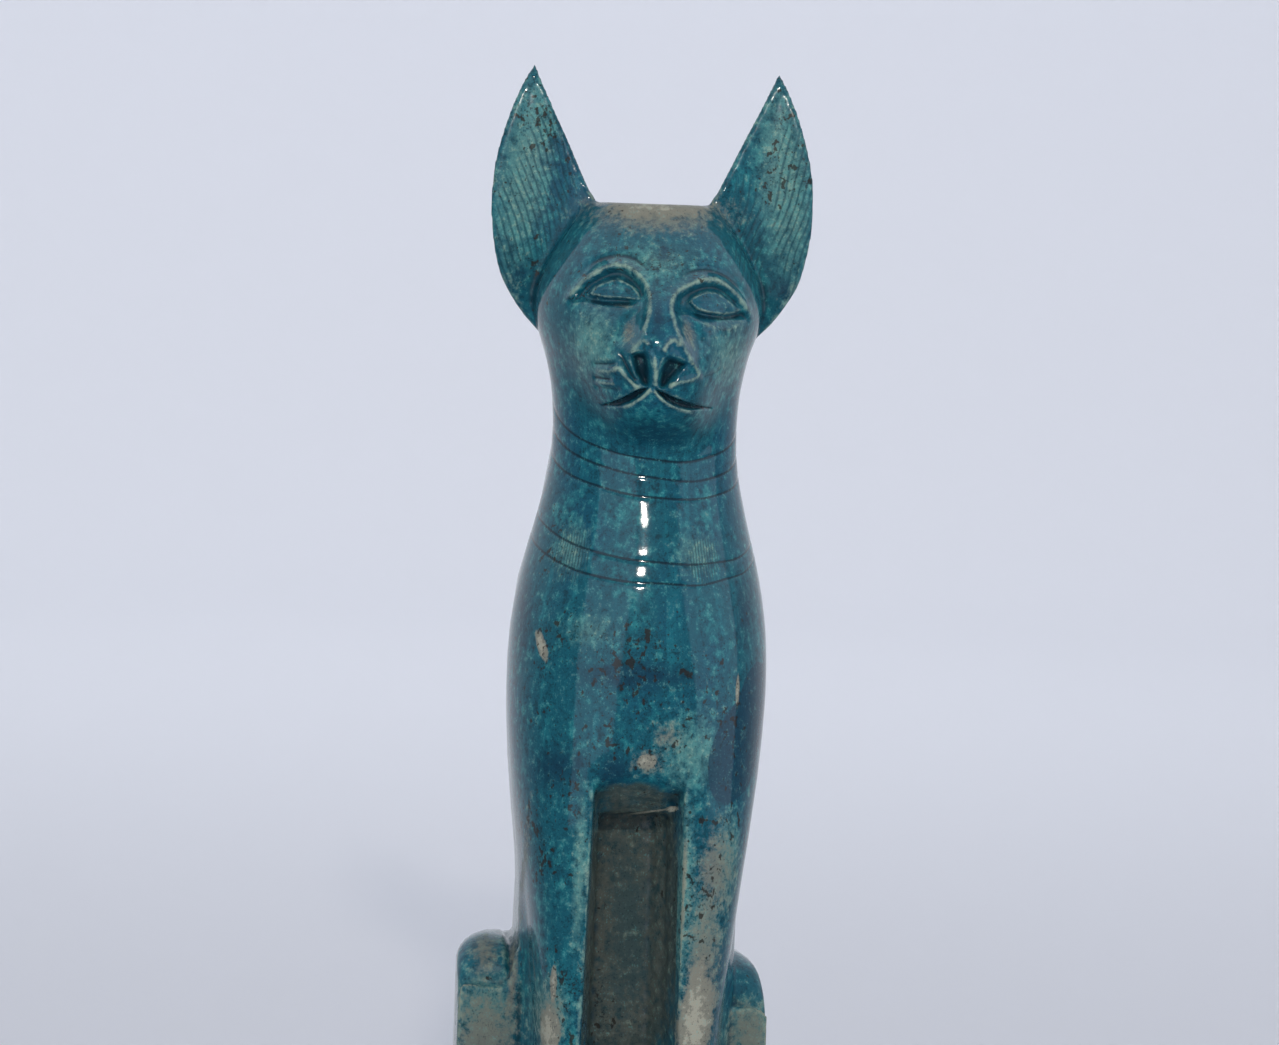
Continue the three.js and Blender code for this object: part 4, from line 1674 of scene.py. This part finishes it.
@dataclass(frozen=True)
class Glaze:
    """Glazed soapstone: a copper glaze fired on the carved stone, glassy, mottled and uneven.

    Copper gives the deep teal. It runs off the ridges, which stay pale, and pools blue in the cuts.
    """

    ground: str = "125a69"
    grains: dict[str, Grain] = field(
        default_factory=lambda: {
            "cloud": Grain((20, 20, 30), 2.0),
            "drift": Grain((6, 6, 9), 3.0, shift=5.0),
            "streak": Grain((1.5, 1.5, 24), 3.0, wraps=True),
            "fur": Grain((0.55, 0.55, 11), 2.0, wraps=True, shift=3.0),
            "mottle": Grain((1.7, 1.7, 1.9), 4.0, 0.65, shift=9.0),
            "fleck": Grain((1.0, 1.0, 1.15), 4.0, 0.75, shift=17.0),
            "grain": Grain((0.42, 0.42, 0.42), 2.0, shift=2.0),
            "pepper": Grain((0.34, 0.34, 0.4), 1.0, shift=41.0),
            "speck": Grain((1.5, 1.5, 1.8), 2.0, 0.6, shift=13.0),
            "cluster": Grain((13, 13, 13), 2.0, shift=21.0),
            "freckle": Grain((0.6, 0.6, 0.6), 1.0, shift=31.0),
        }
    )
    rings: tuple[float, ...] = ()
    combing: tuple[tuple[str, float], ...] = (("combed", -1.0), ("mottle", 1.3))
    layers: tuple[Layer, ...] = (
        # Clouds, streaks and mottling: the glaze lies thicker and thinner on the stone
        Layer("0d4c69", (("cloud", 1.0),), 0.46, 0.68, 0.5),
        Layer("28888b", (("mottle", 1.0), ("drift", 0.5)), 0.74, 0.96, 0.65),
        Layer("1f7f8a", (("streak", 1.0),), 0.54, 0.7, 0.4),
        Layer("0b333f", (("mottle", -1.0), ("grain", -0.5)), -0.74, -0.52, 0.7),
        # Thin glaze, where the pale stone shows through
        Layer(
            "6ba096", (("thin", -0.8), ("mottle", 1.2), ("fleck", 0.6), ("fur", 0.2)), 0.0, 0.85, 0.56, 0.8
        ),
        # Dark and pale flecks
        Layer("0f5263", (("fleck", -1.0), ("mottle", -0.4)), -0.64, -0.52, 0.55),
        Layer("94b09b", (("fleck", 1.0), ("thin", -0.12), ("mottle", 0.3)), 0.62, 0.76, 0.45),
        # Thick blue glaze, pooled on the chest and in the broad hollows; over the hollow's top and under the
        # chin the pooled blue is partly painted shade
        Layer("0b364d", (("pooled_and_painted_shade", -1.0), ("drift", 0.9)), -0.7, 0.1, 0.75),
        Layer("0b323d", (("form", -1.0), ("drift", 0.2)), 0.3, 0.8, 0.7),
        # Glaze weathered grey; beside the nose and under the left eye this grey-brown is painted shade, and
        # on the crown and the knob of the haunch at -X it is partly a painted reflection
        Layer(
            "7c7b6e",
            (("weathered_and_painted_light", -1.0), ("drift", 0.7), ("mottle", 2.6), ("fleck", 1.6)),
            1.25, 2.3, 0.8, 0.9,
        ),
        # Brown earth left in the hollow, with paler and greener stains; over the hollow's top the brown is
        # partly painted shade
        Layer("46514c", (("earthy_and_painted_shade", -1.0), ("drift", 0.8), ("mottle", 0.5)), -0.5, -0.2, 0.9, 0.45),
        Layer("6f6e61", (("earthy_and_painted_shade", -1.0), ("mottle", 1.6), ("streak", 0.8)), 0.2, 0.75, 0.4),
        Layer("104a54", (("earthy_and_painted_shade", -1.0), ("mottle", -1.5), ("cloud", 1.4)), -0.8, -0.35, 0.5),
        # The drop that ran down from the shoulder
        Layer("144054", (("run", 1.0), ("mottle", 0.12)), 0.45, 0.75, 0.88),
        # Glaze pooled dark in the cuts, and shed from the ridges and the rims
        Layer("0b3548", (("ridge", -7.0), ("mottle", 0.4)), 0.6, 1.3, 0.55),
        Layer("0b2a37", (("shed", -1.0), ("mottle", 0.3)), 0.4, 1.0, 0.85),
        Layer(
            "94ac98", (("ridge", 4.5), ("shed", 0.75), ("mottle", 2.0), ("fleck", 1.2)), 1.75, 2.95, 0.85, 0.8
        ),
        Layer(
            "8b8d7c", (("ridge", 9.0), ("thin", -1.0), ("mottle", 1.0), ("fleck", 0.6)), 1.1, 1.9, 0.8, 1.0
        ),
        # Bare stone, grey-brown with paler grains; the grey strip on the crown is partly a painted reflection
        Layer("878779", (("bare_and_painted_sheen", -1.0), ("drift", 0.9), ("mottle", 0.9)), -0.3, -0.02, 0.95, 1.0),
        Layer("b3b19e", (("bare_and_painted_sheen", -1.0), ("mottle", 2.4), ("grain", 0.6)), 0.75, 1.1, 0.7),
        # Dark glaze in the rings and in the hair strokes
        Layer("0c2734", (("ring", -1.0), ("fur", 0.3)), -0.22, 0.05, 0.85),
        Layer("114352", (("groove", 1.0),), 0.0, 1.0, 0.6),
        # Fine pepper, and specks of soot and iron
        Layer("0e2b37", (("pepper", 1.0), ("mottle", -0.6)), 0.3, 0.5, 0.5),
        Layer("5eaeaa", (("pepper", -1.0), ("mottle", 0.8)), 0.02, 0.2, 0.3),
        Layer("29241f", (("speck", 1.0), ("cluster", 0.45), ("speckled", -0.06)), 0.8, 0.86, 0.85),
        Layer("12282c", (("freckle", 1.0), ("cluster", 0.4), ("speckled", -0.05)), 0.8, 0.9, 0.7),
    )
    relief: tuple[tuple[str, float], ...] = (
        ("groove", -0.12), ("mottle", 0.06), ("grain", 0.03), ("drift", 0.05),
    )
    skin: tuple[tuple[str, float], ...] = (("drift", 0.02), ("mottle", 0.01), ("groove", -0.02))
    hair_sway: float = 0.9
    hair_half: float = 0.3
    combed_from: tuple[float, float] = (-0.55, -0.1)
    dulled: float = 0.85
    dulled_edge: tuple[float, float] = (1.2, 0.7)
    # How much glass there is and how rough it is, where it is whole and where it is worn away
    glass: tuple[float, float] = (1.0, 0.25)
    glass_rough: tuple[float, float] = (0.07, 0.4)
    glass_ior: float = 1.5
    body_rough: float = 0.5
    body_gloss: float = 0.1

    def sources(self, tree: bpy.types.NodeTree) -> dict[str, bpy.types.NodeSocket]:
        """Makes every pattern that the layers read.

        Args:
            tree: the material's nodes.

        Returns:
            Each pattern's socket, by name.
        """
        place = add_node(tree, "ShaderNodeTexCoord").outputs["Object"]
        around = add_node(tree, "ShaderNodeAttribute", attribute_name="around").outputs["Vector"]
        found = {}
        for name in ("ridge", "form", "shed", "run", "row", "stroke", *(wear.value for wear in Wear)):
            found[name] = add_node(tree, "ShaderNodeAttribute", attribute_name=name).outputs["Fac"]
        for name, grain in self.grains.items():
            scale = tuple(1.0 / (pitch * MM) for pitch in grain.pitch)
            spot = {"Vector": around if grain.wraps else place}
            spot |= {"Location": (grain.shift,) * 3, "Scale": scale}
            laid = add_node(tree, "ShaderNodeMapping", spot).outputs["Vector"]
            noise = {"Vector": laid, "Scale": 1.0, "Detail": grain.detail, "Roughness": grain.roughness}
            found[name] = add_node(tree, "ShaderNodeTexNoise", noise).outputs["Fac"]
        found["groove"] = self.hair(tree, found)
        # How far away the nearest neck ring is
        nearest = None
        for height in self.rings:
            above = {0: found["row"], 1: height}
            gap = add_node(tree, "ShaderNodeMath", above, operation="SUBTRACT").outputs[0]
            gap = add_node(tree, "ShaderNodeMath", {0: gap}, operation="ABSOLUTE").outputs[0]
            both = {0: gap, 1: gap if nearest is None else nearest}
            nearest = add_node(tree, "ShaderNodeMath", both, operation="MINIMUM").outputs[0]
        found["ring"] = nearest
        return found

    def hair(
        self, tree: bpy.types.NodeTree, found: dict[str, bpy.types.NodeSocket]
    ) -> bpy.types.NodeSocket:
        """Draws the hair strokes, one line to each whole number of the stroke mark, where it is combed.

        Args:
            tree: the material's nodes.
            found: the patterns made so far.

        Returns:
            The strokes' socket, which is 1 in the middle of a line.
        """
        sway = {0: found["drift"], 1: self.hair_sway, 2: found["stroke"]}
        swayed = add_node(tree, "ShaderNodeMath", sway, operation="MULTIPLY_ADD").outputs[0]
        fold = add_node(tree, "ShaderNodeMath", {0: swayed, 1: 0.5}, operation="PINGPONG").outputs[0]
        line = {"Value": fold, "From Max": self.hair_half, "To Min": 1.0, "To Max": 0.0}
        line = add_node(tree, "ShaderNodeMapRange", line, interpolation_type="SMOOTHSTEP").outputs["Result"]
        reach = {"Value": self.add_up(tree, found, self.combing)}
        reach |= {"From Min": self.combed_from[0], "From Max": self.combed_from[1]}
        reach = add_node(tree, "ShaderNodeMapRange", reach, interpolation_type="SMOOTHSTEP").outputs["Result"]
        return add_node(tree, "ShaderNodeMath", {0: line, 1: reach}, operation="MULTIPLY").outputs[0]

    def add_up(
        self,
        tree: bpy.types.NodeTree,
        found: dict[str, bpy.types.NodeSocket],
        reads: Sequence[tuple[str, float]],
    ) -> bpy.types.NodeSocket:
        """Adds up patterns, each with its weight.

        Args:
            tree: the material's nodes.
            found: the patterns.
            reads: the names and weights.

        Returns:
            The sum's socket.
        """
        total = 0.0
        for name, weight in reads:
            term = {0: found[name], 1: weight, 2: total}
            total = add_node(tree, "ShaderNodeMath", term, operation="MULTIPLY_ADD").outputs[0]
        return total

    def ramp(
        self, tree: bpy.types.NodeTree, value: bpy.types.NodeSocket, span: Sequence[float], most: float
    ) -> bpy.types.NodeSocket:
        """Eases from 0 to the most as a value goes through a span.

        Args:
            tree: the material's nodes.
            value: what is read.
            span: where the ease starts and ends.
            most: what it reaches.

        Returns:
            The eased value's socket.
        """
        links = {"Value": value, "From Min": span[0], "From Max": span[1], "To Max": most}
        return add_node(tree, "ShaderNodeMapRange", links, interpolation_type="SMOOTHSTEP").outputs["Result"]

    def material(self) -> bpy.types.Material:
        """Makes the glaze.

        Returns:
            The material, whose coat is the glass and whose base is what shows through it.
        """
        made = bpy.data.materials.new("glazed_soapstone")
        made.use_nodes = True
        tree = made.node_tree
        found = self.sources(tree)
        colour = linear(self.ground)
        dry = self.ramp(tree, found[Wear.DULLED.value], self.dulled_edge, self.dulled)
        for layer in self.layers:
            summed = self.add_up(tree, found, layer.reads)
            mask = self.ramp(tree, summed, (layer.start, layer.end), layer.strength)
            pair = {0: mask, 6: colour, 7: linear(layer.colour)}
            colour = add_node(tree, "ShaderNodeMix", pair, data_type="RGBA").outputs[2]
            if layer.dries:
                more = {0: mask, 1: layer.dries, 2: dry}
                dry = add_node(tree, "ShaderNodeMath", more, operation="MULTIPLY_ADD").outputs[0]
        shader = tree.nodes["Principled BSDF"]
        tree.links.new(colour, shader.inputs["Base Color"])
        for key, (glossy, matt) in {"Coat Weight": self.glass, "Coat Roughness": self.glass_rough}.items():
            links = {"Value": dry, "To Min": glossy, "To Max": matt}
            tree.links.new(add_node(tree, "ShaderNodeMapRange", links).outputs["Result"], shader.inputs[key])
        for key, reads in {"Normal": self.relief, "Coat Normal": self.skin}.items():
            bump = {"Strength": 1.0, "Distance": MM, "Height": self.add_up(tree, found, reads)}
            tree.links.new(add_node(tree, "ShaderNodeBump", bump).outputs["Normal"], shader.inputs[key])
        shader.inputs["Roughness"].default_value = self.body_rough
        shader.inputs["Specular IOR Level"].default_value = self.body_gloss
        shader.inputs["Coat IOR"].default_value = self.glass_ior
        return made


@dataclass(frozen=True)
class Paper:
    """Matt white paper, calendered, as a sweep under and behind the figure.

    Its fibres scatter nearly all light, so it is bright, a little cool, and shows no reflections.
    """

    white: str = "eff0f4"
    rough: float = 0.9

    def material(self) -> bpy.types.Material:
        """Makes the paper."""
        made = bpy.data.materials.new("matt_paper")
        made.use_nodes = True
        shader = made.node_tree.nodes["Principled BSDF"]
        shader.inputs["Base Color"].default_value = linear(self.white)
        shader.inputs["Roughness"].default_value = self.rough
        return made


# The studio


@dataclass(frozen=True)
class Softbox:
    """A lamp behind a diffuser: where it hangs, its size, and how bright its face is."""

    name: str
    at: tuple[float, float, float]
    size: tuple[float, float]
    glow: float
    tint: str = "ffffff"
    aim: tuple[float, float, float] = (0.0, 0.0, 150.0)

    def build(self) -> bpy.types.Object:
        """Hangs the lamp so that it faces the cat.

        Returns:
            The light.
        """
        data = bpy.data.lights.new(self.name, "AREA")
        data.shape = "RECTANGLE"
        data.size, data.size_y = self.size[0] * MM, self.size[1] * MM
        data.energy = self.glow * math.pi * data.size * data.size_y
        data.color = linear(self.tint)[:3]
        light = bpy.data.objects.new(self.name, data)
        bpy.context.scene.collection.objects.link(light)
        place = Vector(self.at) * MM
        turn = (place - Vector(self.aim) * MM).to_track_quat("Z", "Y")
        light.matrix_world = Matrix.Translation(place) @ turn.to_matrix().to_4x4()
        light.visible_camera = False
        return light


@dataclass
class Studio:
    """A round paper cove, open above, with two window-like softboxes, a small lamp and a paper lamp."""

    floor: float = 1250.0
    bend: float = 380.0
    wall: float = 900.0
    room: str = "e8edf7"
    glows: tuple[float, float] = (0.06, 0.84)
    glow_from: tuple[float, float] = (-0.15, 0.9)
    bright_way: tuple[float, float, float] = (0.0, 0.7, 0.714)
    lamps: tuple[Softbox, ...] = (
        Softbox("window_left", (-380.0, -640.0, 330.0), (560.0, 760.0), 0.68, "ecf1ff"),
        Softbox("window_right", (660.0, -380.0, 330.0), (760.0, 760.0), 0.64, "ecf1ff"),
        Softbox("small_lamp", (-17.0, -700.0, 575.0), (40.0, 32.0), 430.0, "fff6ec"),
        Softbox("paper_lamp", (0.0, 500.0, 1250.0), (1500.0, 500.0), 4.4, "f6f9ff", (0.0, 1600.0, 1000.0)),
    )

    def cove(self) -> bpy.types.Object:
        """Makes the floor and the wall round it as one sheet.

        Returns:
            The sheet, marked as stage.
        """
        bpy.ops.object.select_all(action="DESELECT")
        bpy.ops.mesh.primitive_circle_add(vertices=96, radius=1.0, fill_type="TRIFAN")
        sheet = bpy.context.object
        sheet.name = sheet.data.name = "paper_cove"
        write_points(sheet, read_points(sheet) * MM * self.floor)
        steps = 12
        angles = [math.pi / 2 * k / steps for k in range(1, steps + 1)]
        arc = [(self.floor + self.bend * math.sin(a), self.bend * (1.0 - math.cos(a))) for a in angles]
        bpy.ops.object.mode_set(mode="EDIT")
        bpy.ops.mesh.select_all(action="SELECT")
        bpy.ops.mesh.region_to_loop()
        reach, high = self.floor, 0.0
        for radius, height in [*arc, (self.floor + self.bend, self.bend + self.wall)]:
            lift = (0.0, 0.0, (height - high) * MM)
            bpy.ops.mesh.extrude_edges_move(TRANSFORM_OT_translate={"value": lift})
            grow = radius / reach
            bpy.ops.transform.resize(value=(grow, grow, 1.0), center_override=(0.0, 0.0, height * MM))
            reach, high = radius, height
        bpy.ops.mesh.select_all(action="SELECT")
        bpy.ops.mesh.normals_make_consistent(inside=True)
        bpy.ops.object.mode_set(mode="OBJECT")
        bpy.ops.object.shade_smooth()
        sheet.data.materials.append(Paper().material())
        sheet.visible_glossy = False
        return sheet

    def air(self) -> bpy.types.World:
        """Makes the room's even light, which is brightest above and behind and dim on the camera's side.

        Returns:
            The world.
        """
        world = bpy.data.worlds.new("room")
        world.use_nodes = True
        tree = world.node_tree
        way = add_node(tree, "ShaderNodeTexCoord").outputs["Generated"]
        facing = {0: way, 1: self.bright_way}
        facing = add_node(tree, "ShaderNodeVectorMath", facing, operation="DOT_PRODUCT").outputs["Value"]
        span = {"Value": facing, "From Min": self.glow_from[0], "From Max": self.glow_from[1]}
        span |= {"To Min": self.glows[0], "To Max": self.glows[1]}
        glow = add_node(tree, "ShaderNodeMapRange", span, interpolation_type="SMOOTHSTEP").outputs["Result"]
        background = tree.nodes["Background"]
        background.inputs["Color"].default_value = linear(self.room)
        tree.links.new(glow, background.inputs["Strength"])
        return world

    def build(self) -> None:
        """Makes the cove, the lamps and the light of the room."""
        self.cove()
        for lamp in self.lamps:
            lamp.build()
        bpy.context.scene.world = self.air()


def main() -> None:
    """Builds the figure and the studio in order, and reports each piece."""
    logging.basicConfig(level=logging.INFO, format="%(name)s: %(message)s")
    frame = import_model()
    LOG.info("frame holds %d node(s)", len(frame["nodes"]))

    view = Camera()
    LOG.info("camera at %s", tuple(round(c, 3) for c in view.build().location))

    statuette = Statuette()
    figure = statuette.build()
    Firing(view, statuette.body).mark(figure, statuette.plinth.height)
    figure.data.materials.clear()
    figure.data.materials.append(Glaze(rings=tuple(r.height for r in statuette.body.rings.rings)).material())
    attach(figure, "root")
    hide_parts(NODE)
    LOG.info("%s stands for %s", figure.name, NODE)

    Studio().build()
    bpy.context.view_layer.update()
    bpy.context.scene.view_settings.view_transform = "Standard"


if __name__ == "__main__":
    main()
